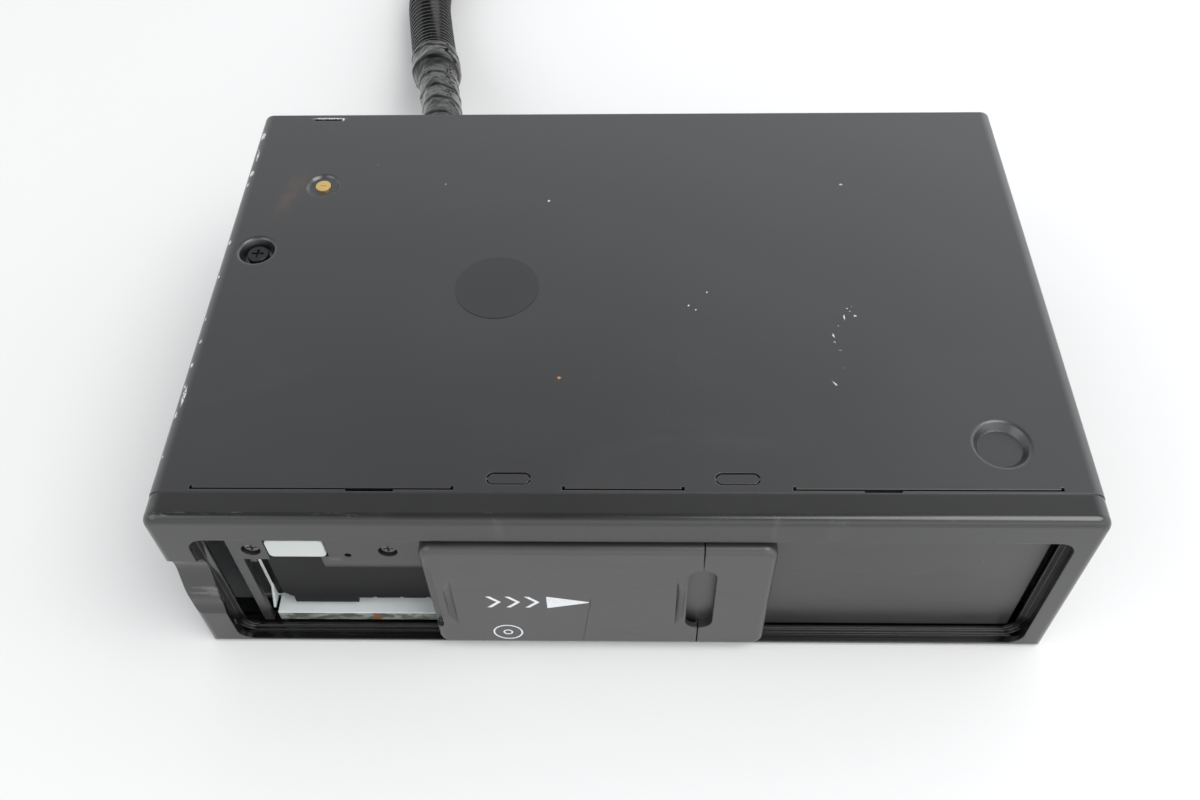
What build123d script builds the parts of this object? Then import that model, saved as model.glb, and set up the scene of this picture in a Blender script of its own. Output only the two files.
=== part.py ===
from build123d import *
import math
import os

# Car CD changer: a flat steel box with a moulded front, a two-leaf sliding door, a magazine slot
# with its dust flap, and behind them a floating disc mechanism. Millimetres.
# Origin: centre of the footprint, on the surface the box lies on. +X right, +Y to the back, +Z up.

# ---------------------------------------------------------------- driving dimensions
W = 258.0            # across the cover
HALF_W = W / 2
H = 71.0             # height of the box
FRONT = -85.0        # front face of the bezel
REAR = 85.0          # back edge of the cover
SHEET = 1.0          # steel sheet
SEAM_Y = -75.9       # joint between bezel and cover
COVER_R = 4.0        # long rounded edges of the cover

WIN_X0, WIN_X1 = -119.3, 122.0      # window in the bezel
WIN_Z0, WIN_Z1 = 2.3, 60.6
WIN_R = 5.0
SILL_Y = -79.7                      # back of the sill

DOOR_Y = -87.0                      # proud face of the door
DOOR_Z0, DOOR_Z1 = 4.1, 58.9
LEAF_A_X0, LEAF_A_X1 = -56.1, 22.2
LEAF_B_X0, LEAF_B_X1 = 22.6, 42.5
TAIL_X0 = -50.0                     # thin plate behind the wide leaf reaches this far

PANEL_Y = -79.3                     # face of the inner fascia
SLOT_X0, SLOT_X1 = -109.3, 26.0     # magazine slot, for a magazine 129 wide and 25.6 high
SLOT_TOP = 41.0                     # head of the slot under the button
SLOT_HEAD = 33.6                    # head of the slot right of the button

FLOOR_Z = 7.4                       # top of the magazine tray
DISC_PITCH = 4.2
LIFT = 5 * DISC_PITCH               # deck travel over six discs
CAM_STROKE = LIFT / 2               # the cam slots climb 2 to 1

SPX, SPY = 57.0, -15.0              # spindle
RUN = 0.06                          # radial clearance of a running fit

CORD_X, CORD_Z = -72.0, 33.0        # cable exit in the rear panel
LOOM_R, TAPE_R = 10.0, 8.5

os.makedirs("parts", exist_ok=True)


def blk(x0, x1, y0, y1, z0, z1, mode=Mode.ADD):
    """box between two corners, in the current builder"""
    with Locations(((x0 + x1) / 2, (y0 + y1) / 2, (z0 + z1) / 2)):
        Box(x1 - x0, y1 - y0, z1 - z0, mode=mode)


def rod(axis, a, b, r, s0, s1, mode=Mode.ADD):
    """cylinder along a row axis, from s0 to s1; a and b are its other two coordinates in X, Y, Z order"""
    m = (s0 + s1) / 2
    place = {"X": Location((m, a, b), (0, 90, 0)), "Y": Location((a, m, b), (90, 0, 0)), "Z": Location((a, b, m))}[axis]
    with Locations(place):
        Cylinder(r, s1 - s0, mode=mode)


def save(piece, name):
    piece.label = name
    export_step(piece, "parts/" + name + ".step")


def gear_points(n, m, phase, add=0.8, ded=1.2, backlash=0.22):
    """outline of an involute spur gear about (0, 0); phase is where one tooth centre points, in radians"""
    rp = n * m / 2
    rb = rp * math.cos(math.radians(20))
    ro, rr = rp + add * m, rp - ded * m

    def inv(r):
        if r <= rb:
            return 0.0
        a = math.acos(rb / r)
        return math.tan(a) - a

    half = (math.pi * m / 2 - backlash) / 2 / rp + inv(rp)
    pts = []
    for i in range(n):
        c = phase + 2 * math.pi * i / n
        radii = [rr, max(rb, rr + 0.02), (max(rb, rr) + rp) / 2 + 0.01, rp, (rp + ro) / 2, ro]
        left = [(r, half - inv(r)) for r in radii]
        for r, a in left:
            pts.append((r * math.cos(c - a), r * math.sin(c - a)))
        for r, a in reversed(left):
            pts.append((r * math.cos(c + a), r * math.sin(c + a)))
    return pts


# ================================================================ housing: sheet metal
with BuildPart() as bottom_chassis:
    blk(-127.6, 127.6, -75.0, 82.6, 0, SHEET)
    for s in (-1, 1):
        x0, x1 = sorted((s * 126.6, s * 127.6))
        blk(x0, x1, -70.6, 82.6, SHEET, 62.0)
        # clearance holes of the side weld nuts
        for y in (-45, 45):
            for z in (14, 54):
                rod("X", y, z, 2.3, x0 - 1, x1 + 1, Mode.SUBTRACT)
        # clearance for the countersunk cover screws
        for y in (-25, 68):
            rod("X", y, 30, 1.6, x0 - 1, x1 + 1, Mode.SUBTRACT)
    blk(-118, 118, -70.4, -69.6, SHEET, 4.0)
    # ribbed drain slots in the floor
    for x in (-70, -40, -10):
        for y in (-20, 0, 20):
            with BuildSketch(Plane.XY.offset(-0.5)):
                with Locations((x, y)):
                    SlotOverall(22, 4)
            extrude(amount=2, mode=Mode.SUBTRACT)
    # seats of the four suspension units
    for x, y in ((-100, -62), (-100, 62), (112, -63.6), (112, 65.6)):
        rod("Z", x, y, 3.0, SHEET, SHEET + 0.6)
save(bottom_chassis.part, "bottom_chassis")

with BuildPart() as top_cover:
    with BuildSketch(Plane.XZ.offset(-SEAM_Y)):
        with Locations((0, 35.5 + 0.3)):
            RectangleRounded(W, H - 0.6, COVER_R)
        with Locations((0, 4)):
            Rectangle(W, 8 - 0.0)
        with Locations((0, 0.3)):
            Rectangle(W + 2, 0.6, mode=Mode.SUBTRACT)
    extrude(amount=-(REAR - SEAM_Y))
    with BuildSketch(Plane.XZ.offset(-SEAM_Y + 1)):
        with Locations((0, 35.0 - 1.5)):
            RectangleRounded(W - 2 * SHEET, 73.0, COVER_R - SHEET)
    extrude(amount=-(REAR - SEAM_Y + 2), mode=Mode.SUBTRACT)
    # rear lip, bent down, in segments with small steps between them
    for x0, x1, z0 in ((-124.5, -84.0, 58.0), (-83.2, -48.5, 60.5), (-47.7, -19.7, 58.0), (-18.9, -3.9, 56.5), (-3.1, 30.3, 58.0), (31.1, 55.8, 56.5), (56.6, 124.5, 58.0)):
        blk(x0, x1, REAR - SHEET, REAR, z0, H - 0.5)
    # pressed dimple near the front right corner: raised-free rim, flat floor
    with BuildSketch(Plane.XY.offset(H)):
        with Locations((104.0, -59.5)):
            Circle(7.9)
    extrude(amount=-2.3, taper=38, mode=Mode.SUBTRACT)
    with BuildSketch(Plane.XY.offset(H - SHEET)):
        with Locations((104.0, -59.5)):
            Circle(7.9)
    extrude(amount=-2.3, taper=38)
    with BuildSketch(Plane.XY.offset(H)):
        with Locations((104.0, -59.5)):
            Circle(7.9)
    extrude(amount=-2.3, taper=38, mode=Mode.SUBTRACT)
    # deep dimple of the transport screw
    with BuildSketch(Plane.XY.offset(H - SHEET)):
        with Locations((-117.5, 16.7)):
            Circle(6.2)
    extrude(amount=-3.6, taper=22)
    with BuildSketch(Plane.XY.offset(H)):
        with Locations((-117.5, 16.7)):
            Circle(5.8)
    extrude(amount=-3.6, taper=22, mode=Mode.SUBTRACT)
    rod("Z", -117.5, 16.7, 1.9, 60, H, Mode.SUBTRACT)
    # shallow dimple of the brass screw
    with BuildSketch(Plane.XY.offset(H - SHEET)):
        with Locations((-101.2, 47.5)):
            Circle(6.2)
    extrude(amount=-0.8, taper=50)
    with BuildSketch(Plane.XY.offset(H)):
        with Locations((-101.2, 47.5)):
            Circle(5.6)
    extrude(amount=-0.8, taper=50, mode=Mode.SUBTRACT)
    rod("Z", -101.2, 47.5, 1.7, 60, H, Mode.SUBTRACT)
    # the rims of the dimples are drawn, not cut: rounded
    for radius, soft in ((7.9, 1.5), (5.8, 1.3), (5.6, 0.5)):
        rims = top_cover.edges().filter_by(GeomType.CIRCLE).filter_by(lambda e: abs(e.radius - radius) < 0.04 and abs(e.center().Z - H) < 0.01)
        fillet(rims, soft)
    # service hole under the round sticker
    rod("Z", -39.1, 0.1, 9.0, 60, H + 1, Mode.SUBTRACT)
    # two pill slots
    for x in (-30.8, 31.15):
        with BuildSketch(Plane.XY.offset(H + 0.5)):
            with Locations((x, -71.4)):
                SlotOverall(12.2, 4.0)
        extrude(amount=-2.0, mode=Mode.SUBTRACT)
        with BuildSketch(Plane.XY.offset(H - 0.15)):
            with Locations((x, -71.4)):
                SlotOverall(11.4, 3.2)
        extrude(amount=-0.85)
        blk(x - 6.8, x - 4.8, -71.8, -71.0, H - 1.0, H - 0.15)
        blk(x + 4.8, x + 6.8, -71.8, -71.0, H - 1.0, H - 0.15)
    # thin relief slots along the front edge, with a small up-notch at each end
    for x0, x1 in ((-117.3, -45.5), (-16.2, 16.7), (45.7, 117.5)):
        blk(x0, x1, -75.15, -74.65, 60, H + 1, Mode.SUBTRACT)
        blk(x0, x0 + 0.8, -75.0, -73.9, 60, H + 1, Mode.SUBTRACT)
        blk(x1 - 0.8, x1, -75.0, -73.9, 60, H + 1, Mode.SUBTRACT)
    for x0, x1 in ((-74.7, -61.7), (64.6, 74.7)):
        blk(x0, x1, -75.7, -74.8, 60, H + 1, Mode.SUBTRACT)
    # bent silver tab slot at the rear left
    blk(-110.0, -100.2, 81.9, 82.7, 60, H + 1, Mode.SUBTRACT)
    for s in (-1, 1):
        for y in (-45, 45):
            for z in (14, 54):
                rod("X", y, z, 2.3, s * 128.5 - 2, s * 128.5 + 2, Mode.SUBTRACT)
        for y in (-25, 68):
            with Locations(Location((s * HALF_W, y, 30), (0, s * 90, 0))):
                CounterSinkHole(1.6, 3.1, 3, counter_sink_angle=90)
    # rear screw holes
    for x in (-110, 0, 110):
        rod("Y", x, 65, 1.7, 80, 90, Mode.SUBTRACT)
save(top_cover.part, "top_cover")

with BuildPart() as rear_panel:
    blk(-126.3, 126.3, 82.8, 83.8, 1.3, 69.2)
    rod("Y", CORD_X, CORD_Z, 10.1, 80, 90, Mode.SUBTRACT)
    for x in (-110, 0, 110):
        rod("Y", x, 65, 1.3, 80, 90, Mode.SUBTRACT)
    # cooling slots
    for i in range(7):
        with BuildSketch(Plane.XZ.offset(-85)):
            with Locations((30 + 9 * i, 34)):
                SlotOverall(26, 3.2, rotation=90)
        extrude(amount=4, mode=Mode.SUBTRACT)
    # pressed stiffening bead
    blk(-40, 10, 83.8, 84.6, 16, 19)
    blk(-40, 10, 83.8, 84.6, 46, 49)
save(rear_panel.part, "rear_panel")

with BuildPart() as housing_screws:
    for s in (-1, 1):
        for y in (-25, 68):
            with Locations(Location((s * (HALF_W - 0.15), y, 30), (0, s * 90, 0))):
                Cone(1.45, 2.6, 1.15, align=(Align.CENTER, Align.CENTER, Align.MAX))
            rod("X", y, 30, 1.45, *sorted((s * 122.0, s * (HALF_W - 1.25))))
            with Locations(Location((s * HALF_W, y, 30), (0, s * 90, 0))):
                Box(2.6, 0.6, 1.2, mode=Mode.SUBTRACT)
                Box(0.6, 2.6, 1.2, mode=Mode.SUBTRACT)
    for x in (-110, 0, 110):
        rod("Y", x, 65, 1.25, 77.5, 85.1)
        rod("Y", x, 65, 3.1, 85.1, 86.7)
        with Locations((x, 86.7, 65)):
            Box(3.0, 1.4, 0.7, mode=Mode.SUBTRACT)
            Box(0.7, 1.4, 3.0, mode=Mode.SUBTRACT)
save(housing_screws.part, "housing_screws")

with BuildPart() as side_mount_nuts:
    for s in (-1, 1):
        for y in (-45, 45):
            for z in (14, 54):
                a, b = sorted((s * 123.4, s * 126.6))
                with Locations(Location(((a + b) / 2, y, z), (0, 90, 0))):
                    Box(8, 8, b - a)
                rod("X", y, z, 1.65, a - 1, b + 1, Mode.SUBTRACT)
save(side_mount_nuts.part, "side_mount_nuts")

with BuildPart() as round_cover_label:
    with BuildSketch(Plane.XY.offset(H)):
        with Locations((-39.1, 0.1)):
            Circle(13.0)
    extrude(amount=0.15)
save(round_cover_label.part, "round_cover_label")

with BuildPart() as brass_insert:
    rod("Z", -101.2, 47.5, 2.5, H - 0.8, H - 0.1)
    rod("Z", -101.2, 47.5, 1.6, 66.0, H - 0.8)
    with Locations((-101.2, 47.5, H - 0.1)):
        Box(2.6, 0.55, 0.6, mode=Mode.SUBTRACT)
save(brass_insert.part, "brass_insert")

with BuildPart() as transport_screw:
    rod("Z", -117.5, 16.7, 3.4, H - 3.6, H - 1.5)
    rod("Z", -117.5, 16.7, 1.75, 60.0, H - 3.6)
    with Locations((-117.5, 16.7, H - 1.5)):
        Box(3.8, 0.8, 1.6, mode=Mode.SUBTRACT)
        Box(0.8, 3.8, 1.6, mode=Mode.SUBTRACT)
    fillet(transport_screw.edges().filter_by(GeomType.CIRCLE).group_by(Axis.Z)[-1].sort_by(SortBy.RADIUS)[-1:], 0.5)
save(transport_screw.part, "transport_screw")

# ================================================================ bezel
with BuildPart() as front_bezel:
    with BuildSketch(Plane.XZ.offset(-FRONT)):
        with Locations((0, H / 2)):
            RectangleRounded(W, H, 4.5)
        with Locations((0, 3)):
            Rectangle(W, 6)
    extrude(amount=-(-76.0 - FRONT))
    # softened front edges: the top one is the roundest
    front_edges = front_bezel.faces().sort_by(Axis.Y)[0].edges()
    fillet(front_edges.filter_by(lambda e: e.center().Z > 3), 2.6)
    # and the bottom one curves under
    with BuildSketch(Plane.YZ.offset(-HALF_W - 1)):
        with BuildLine():
            ThreePointArc((FRONT, 2.0), (-84.41, 0.59), (-83.0, 0))
            Polyline((-83.0, 0), (-83.0, -1), (-87, -1), (-87, 2.0), (FRONT, 2.0))
        make_face()
    extrude(amount=W + 2, mode=Mode.SUBTRACT)
    # skirt inside the cover
    with BuildSketch(Plane.XZ.offset(76.0)):
        with Locations((0, (1.3 + 69.5) / 2)):
            RectangleRounded(2 * 127.4, 69.5 - 1.3, 2.5)
        with Locations((0, (2.8 + 68.0) / 2)):
            RectangleRounded(2 * 125.9, 68.0 - 2.8, 1.2, mode=Mode.SUBTRACT)
    extrude(amount=-5.0)
    # window
    with BuildSketch(Plane.XZ.offset(-FRONT + 1)):
        with Locations(((WIN_X0 + WIN_X1) / 2, (WIN_Z0 + WIN_Z1) / 2)):
            RectangleRounded(WIN_X1 - WIN_X0, WIN_Z1 - WIN_Z0, WIN_R)
    extrude(amount=-(-80.7 - FRONT + 1), mode=Mode.SUBTRACT)
    # a narrow ledge runs round the back of the window
    with BuildSketch(Plane.XZ.offset(82)):
        with Locations(((WIN_X0 + WIN_X1) / 2, (WIN_Z0 + WIN_Z1) / 2)):
            RectangleRounded(WIN_X1 - WIN_X0 - 3.8, WIN_Z1 - WIN_Z0 - 1.6, WIN_R - 0.6)
    extrude(amount=-4, mode=Mode.SUBTRACT)
    # pocket for the inner fascia
    blk(-124.5, 124.5, SILL_Y, -75.9, 1.4, 63.4, Mode.SUBTRACT)
    # rail grooves above and below the window
    blk(WIN_X0, WIN_X1, -83.3, -81.9, 1.5, 8.0, Mode.SUBTRACT)
    blk(WIN_X0, WIN_X1, -83.3, -81.9, 55.0, 62.0, Mode.SUBTRACT)
    # finger scoop in the left side of the frame: a sharp step above, running out below
    with BuildSketch(Plane.YZ.offset(-131)):
        with BuildLine():
            Polyline((-88, 49.6), (FRONT, 49.2), (-82.4, 46.0))
            Spline((-82.4, 46.0), (-81.2, 41.5), (-81.6, 37.0), (-82.8, 31.5), (-84.0, 25.5), (FRONT, 18.5), tangents=[(0.35, -1), (-0.3, -1)])
            Polyline((FRONT, 18.5), (-88, 16), (-88, 49.6))
        make_face()
    extrude(amount=131 + WIN_X0, mode=Mode.SUBTRACT)
save(front_bezel.part, "front_bezel")

# ================================================================ sliding door
OVAL_X0, OVAL_X1, OVAL_Z0, OVAL_Z1 = 18.5, 26.5, 15.1, 48.7
with BuildPart() as door_main:
    with BuildSketch(Plane.XZ.offset(-DOOR_Y)):
        with Locations(((LEAF_A_X0 + LEAF_A_X1) / 2, (DOOR_Z0 + DOOR_Z1) / 2)):
            RectangleRounded(LEAF_A_X1 - LEAF_A_X0, DOOR_Z1 - DOOR_Z0, 4.0)
        with Locations(((LEAF_A_X1 - 6), (DOOR_Z0 + DOOR_Z1) / 2)):
            Rectangle(12, DOOR_Z1 - DOOR_Z0)
    extrude(amount=-4.8)
    rim = door_main.faces().sort_by(Axis.Y)[0].edges()
    fillet(rim.filter_by(lambda e: e.center().X < LEAF_A_X1 - 0.1), 2.1)
    # hollow behind the face, open to the right for the thin plate of the narrow leaf
    blk(LEAF_A_X0 + 5.4, LEAF_A_X1 + 1, -85.3, -82.0, 5.6, 57.4, Mode.SUBTRACT)
    # runners in the rail grooves
    for x0, x1 in ((-48, -36), (4, 16)):
        blk(x0, x1, -83.0, -82.2, 1.8, 6.0)
        blk(x0, x1, -83.0, -82.2, 57.0, 61.7)
    # half of the oval finger recess
    with BuildSketch(Plane.XZ.offset(89)):
        with Locations(((OVAL_X0 + OVAL_X1) / 2, (OVAL_Z0 + OVAL_Z1) / 2)):
            SlotOverall(OVAL_Z1 - OVAL_Z0, OVAL_X1 - OVAL_X0, rotation=90)
    extrude(amount=-4.2, mode=Mode.SUBTRACT)
    # finger grips: a step down along the left edge, and beside it and beside the oval a notch with a curved
    # floor, deepest at its inner side
    with BuildSketch(Plane.XZ.offset(89)):
        with Locations((LEAF_A_X0 - 0.6, 32.5)):
            RectangleRounded(6.2, 36.0, 2.0)
    extrude(amount=-4.2, mode=Mode.SUBTRACT)
    for x0, x1, r0, r1 in ((-51.4, -49.0, 59.1, 60.0), (15.4, 17.7, 60.0, 59.1)):
        with Locations(Location(((x0 + x1) / 2, DOOR_Y - 58.6, 30.0), (0, 90, 0))):
            Cone(r0, r1, x1 - x0, mode=Mode.SUBTRACT)
save(door_main.part, "door_main")

with BuildPart() as door_tail:
    with BuildSketch(Plane.XZ.offset(-DOOR_Y)):
        with Locations(((LEAF_B_X0 + LEAF_B_X1) / 2, (DOOR_Z0 + DOOR_Z1) / 2)):
            RectangleRounded(LEAF_B_X1 - LEAF_B_X0, DOOR_Z1 - DOOR_Z0, 4.0)
        with Locations((LEAF_B_X0 + 4, (DOOR_Z0 + DOOR_Z1) / 2)):
            Rectangle(8, DOOR_Z1 - DOOR_Z0)
    extrude(amount=-4.8)
    rim = door_tail.faces().sort_by(Axis.Y)[0].edges()
    fillet(rim.filter_by(lambda e: e.center().X > LEAF_B_X0 + 0.1), 2.1)
    blk(LEAF_B_X0 - 1, LEAF_B_X1 - 1.5, -83.2, -82.0, 5.6, 57.4, Mode.SUBTRACT)
    with BuildSketch(Plane.XZ.offset(89)):
        with Locations(((OVAL_X0 + OVAL_X1) / 2, (OVAL_Z0 + OVAL_Z1) / 2)):
            SlotOverall(OVAL_Z1 - OVAL_Z0, OVAL_X1 - OVAL_X0, rotation=90)
    extrude(amount=-5.2, mode=Mode.SUBTRACT)
    # thin plate running behind the wide leaf
    blk(TAIL_X0, LEAF_B_X0 + 2, -83.8, -82.6, 6.4, 56.6)
    for x0, x1 in ((25, 37),):
        blk(x0, x1, -83.0, -82.2, 1.8, 6.0)
        blk(x0, x1, -83.0, -82.2, 57.0, 61.7)
save(door_tail.part, "door_tail")

# ================================================================ inner fascia, button, flap
SCREWS = ((-106.0, 46.0), (-66.8, 45.6), (36.0, 46.0))
with BuildPart() as slot_panel:
    blk(-112.3, 118.6, PANEL_Y, -77.8, 3.8, 62.6)
    # thicker rim over the slot, so that its face can curve back
    blk(-86.0, SLOT_X1, -77.9, -77.0, SLOT_HEAD, 37.6)
    # the magazine slot, open at the bottom for the tray's lip; its head is lower right of the button
    blk(SLOT_X0, -86.6, -80, -76.5, 3.0, SLOT_TOP, Mode.SUBTRACT)
    blk(-86.7, SLOT_X1, -80, -76.5, 3.0, SLOT_HEAD, Mode.SUBTRACT)
    with BuildSketch(Plane.YZ.offset(-86.7)) as curve_back:
        with BuildLine():
            Spline((PANEL_Y, 40.6), (-78.9, 36.8), (-77.25, SLOT_HEAD), tangents=[(0, -1), (0.75, -0.66)])
            Polyline((-77.25, SLOT_HEAD), (-77.25, SLOT_HEAD - 1), (-81, SLOT_HEAD - 1), (-81, 40.6), (PANEL_Y, 40.6))
        make_face()
    extrude(curve_back.sketch, amount=SLOT_X1 + 86.7, mode=Mode.SUBTRACT)
    # mouth of the eject button, open downwards
    blk(-101.6, -84.2, -80, -77, 42.7, 52.0, Mode.SUBTRACT)
    blk(-101.6, -86.6, -80, -77, 40.9, 42.8, Mode.SUBTRACT)
    # screw wells
    for x, z in SCREWS:
        rod("Y", x, z, 5.6, -77.8, -73.4)
        rod("Y", x, z, 2.75, -79.4, -76.4, Mode.SUBTRACT)
        rod("Y", x, z, 1.6, -80, -73, Mode.SUBTRACT)
    # the first well is trimmed beside the button's chamber
    blk(-101.7, -84.2, -77.8, -73.0, 40.9, 53.8, Mode.SUBTRACT)
    # the wells are trimmed over the flap's barrel
    blk(-113, 24.8, -77.8, -73.0, 38.0, 41.5, Mode.SUBTRACT)
    rod("Y", -78.6, 43.4, 1.0, -80, -77, Mode.SUBTRACT)
    # lugs of the flap's pin
    for x0, x1 in ((-108.6, -106.6), (24.9, 26.9)):
        blk(x0, x1, -77.8, -73.8, 37.0, 42.2)
        rod("X", -76.0, 39.6, 1.0, x0 - 1, x1 + 1, Mode.SUBTRACT)
    # bosses of the switch board
    for x in (-103.2, -80.4):
        blk(x - 1.4, x + 1.4, -77.8, -66.5, 52.6, 55.4)
save(slot_panel.part, "slot_panel")

with BuildPart() as slot_panel_screws:
    for x, z in SCREWS:
        rod("Y", x, z, 1.5, -76.6, -71.2)
        rod("Y", x, z, 2.3, -78.4, -76.4)
    fillet(slot_panel_screws.edges().filter_by(GeomType.CIRCLE).group_by(Axis.Y)[0], 0.45)
    for x, z in SCREWS:
        with Locations((x, -78.4, z)):
            Box(3.0, 1.6, 0.7, mode=Mode.SUBTRACT)
            Box(0.7, 1.6, 3.0, mode=Mode.SUBTRACT)
save(slot_panel_screws.part, "slot_panel_screws")

with BuildPart() as eject_button:
    with BuildSketch(Plane.XZ.offset(79.7)):
        with Locations(((-101.2 - 84.6) / 2, (43.0 + 51.6) / 2)):
            RectangleRounded(16.6, 8.6, 1.6)
    extrude(amount=-5.2)
    fillet(eject_button.faces().sort_by(Axis.Y)[0].edges(), 0.4)
    blk(-100.0, -85.8, -78.4, -74.4, 43.8, 50.4, Mode.SUBTRACT)
    # spring post and catch flange
    rod("Y", -92.9, 46.8, 1.6, -78.5, -73.4)
    rod("Y", -98.4, 48.0, 1.2, -78.5, -74.0)
    blk(-98.0, -88.0, -77.4, -76.3, 51.0, 53.4)
    blk(-84.7, -83.2, -77.4, -76.3, 44.0, 51.0)
save(eject_button.part, "eject_button")

with BuildPart() as eject_button_spring:
    for i in range(5):
        with Locations(Location((-92.9, -76.8 + 2.25 * i, 46.8), (90, 0, 0))):
            Torus(2.5, 0.3)
save(eject_button_spring.part, "eject_button_spring")

with BuildPart() as front_switch_board:
    blk(-105.0, -78.6, -66.5, -65.2, 42.6, 56.4)
save(front_switch_board.part, "front_switch_board")

with BuildPart() as eject_switch:
    blk(-100.4, -96.4, -69.6, -66.5, 46.0, 50.0)
    rod("Y", -98.4, 48.0, 1.0, -70.9, -69.6)
save(eject_switch.part, "eject_switch")

FLAP_Y, FLAP_Z = -76.0, 39.6
with BuildPart() as slot_flap:
    blk(-104.2, 24.4, -76.6, -75.4, 13.4, FLAP_Z)
    rod("X", FLAP_Y, FLAP_Z, 1.35, -104.2, 24.4)
    # cut lower left corner and the deeper tab
    with BuildSketch(Plane.XZ.offset(80)):
        with BuildLine():
            Polyline((-105, 17.4), (-100.4, 13.0), (-105, 13.0), (-105, 17.4))
        make_face()
    extrude(amount=-6, mode=Mode.SUBTRACT)
    blk(-101.4, -81.8, -76.6, -75.4, 10.6, 13.6)
    # shallow nicks along the lower edge
    for i in range(12):
        blk(-77.0 + 8.2 * i, -75.8 + 8.2 * i, -77, -75, 13.0, 13.9, Mode.SUBTRACT)
    rod("X", FLAP_Y, FLAP_Z, 0.8 + RUN, -106, 26, Mode.SUBTRACT)
save(slot_flap.part, "slot_flap")

with BuildPart() as flap_hinge_pin:
    rod("X", FLAP_Y, FLAP_Z, 0.8, -109.0, 27.3)
save(flap_hinge_pin.part, "flap_hinge_pin")

with BuildPart() as flap_spring:
    for i in range(2):
        with Locations(Location((-105.8 + 0.7 * i, FLAP_Y, FLAP_Z), (0, 90, 0))):
            Torus(1.35, 0.22)
save(flap_spring.part, "flap_spring")

# ================================================================ floating mechanism: chassis
with BuildPart() as mechanism_chassis:
    blk(-109.0, 120.0, -72.0, 72.0, FLOOR_Z - SHEET, FLOOR_Z)
    # well under the elevator
    blk(31.0, 117.0, -56.0, 58.8, 0, 12, Mode.SUBTRACT)
    # tongue of the tray in the slot, with its folded front lip
    blk(-107.6, 24.6, -78.6, -72.0, FLOOR_Z - SHEET, FLOOR_Z)
    blk(-107.6, 24.6, -78.6, -77.6, 3.0, FLOOR_Z)
    # left wall, rear wall
    blk(-110.0, -109.0, -72.0, 73.0, FLOOR_Z - SHEET, 46.0)
    blk(-110.0, 120.0, 72.0, 73.0, FLOOR_Z - SHEET, 46.0)
    # flared cheek beside the tongue
    with BuildSketch(Plane.YZ.offset(-109.6)):
        with BuildLine():
            Polyline((-72.0, FLOOR_Z - 1), (-76.4, FLOOR_Z - 1), (-72.0, 14.0), (-72.0, FLOOR_Z - 1))
        make_face()
    extrude(amount=0.8)
    # pressed ribs and holes of the tray
    for x in (-90, -65, -15, 8):
        with BuildSketch(Plane.XY.offset(5)):
            with Locations((x, 0)):
                SlotOverall(60, 4, rotation=90)
        extrude(amount=4, mode=Mode.SUBTRACT)
    # guide slot of the ejector's tongue
    blk(-47.0, -43.0, 30.0, 70.0, 5, 9, Mode.SUBTRACT)
save(mechanism_chassis.part, "mechanism_chassis")

with BuildPart() as bay_top_plate:
    blk(-110.0, 29.4, -60.0, 73.0, 46.0, 47.0)
    for x0, x1, y0, y1 in ((-95, -72, -48, 60), (-45, 20, -48, -8), (-45, 20, 6, 60)):
        blk(x0, x1, y0, y1, 45, 48, Mode.SUBTRACT)
    rod("Z", -60.0, 20.0, 1.55, 45, 48, Mode.SUBTRACT)
save(bay_top_plate.part, "bay_top_plate")

with BuildPart() as magazine_guide_left:
    blk(-109.0, -106.2, -72.0, 68.0, FLOOR_Z, 36.0)
    blk(-107.4, -106.0, -70.0, 66.0, 12.0, 33.0, Mode.SUBTRACT)
    blk(-109.0, -106.2, -60.0, 68.0, 36.0, 46.0)
    chamfer(magazine_guide_left.edges().filter_by(Axis.Z).group_by(Axis.Y)[0].sort_by(Axis.X)[-1:], 1.2)
save(magazine_guide_left.part, "magazine_guide_left")

with BuildPart() as magazine_guide_right:
    blk(26.8, 29.2, -70.0, 68.0, FLOOR_Z, 10.6)
    blk(26.8, 29.2, -60.0, 68.0, 43.4, 46.0)
    blk(26.8, 29.2, -60.0, -56.0, 10.6, 43.4)
    blk(26.8, 29.2, 62.0, 68.0, 10.6, 43.4)
save(magazine_guide_right.part, "magazine_guide_right")

with BuildPart() as magazine_ejector:
    blk(-80.0, -10.0, 40.0, 43.0, 7.9, 18.0)
    blk(-52.0, -38.0, 43.0, 52.0, 7.9, 9.4)
    blk(-46.7, -43.3, 40.0, 52.0, 5.0, 8.0)
    rod("Y", -45.0, 13.5, 1.6, 43.0, 50.0)
save(magazine_ejector.part, "magazine_ejector")

with BuildPart() as ejector_spring:
    for i in range(9):
        with Locations(Location((-45.0, 43.6 + 3.3 * i, 13.5), (90, 0, 0))):
            Torus(2.9, 0.35)
save(ejector_spring.part, "ejector_spring")

with BuildPart() as magazine_lock_lever:
    blk(-62.0, -58.0, -38.0, 24.0, 43.2, 44.6)
    rod("Z", -60.0, 20.0, 4.0, 43.2, 44.6)
    blk(-62.0, -58.0, -38.0, -34.5, 37.6, 43.3)
    rod("Z", -60.0, 20.0, 1.5 + RUN, 40, 48, Mode.SUBTRACT)
save(magazine_lock_lever.part, "magazine_lock_lever")

with BuildPart() as lock_lever_pin:
    rod("Z", -60.0, 20.0, 1.5, 42.6, 47.3)
    rod("Z", -60.0, 20.0, 2.6, 42.0, 42.7)
save(lock_lever_pin.part, "lock_lever_pin")

SEATS = ((-100, -62), (-100, 62), (112, -63.6), (112, 65.6))
with BuildPart() as suspension_springs:
    for x, y in SEATS:
        for i in range(4):
            with Locations((x, y, 1.45 + 1.45 * i)):
                Torus(4.8, 0.42)
save(suspension_springs.part, "suspension_springs")

with BuildPart() as oil_dampers:
    for x, y in SEATS:
        rod("Z", x, y, 3.6, 1.6, 4.0)
        rod("Z", x, y, 2.6, 4.0, 6.4)
save(oil_dampers.part, "oil_dampers")

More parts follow.
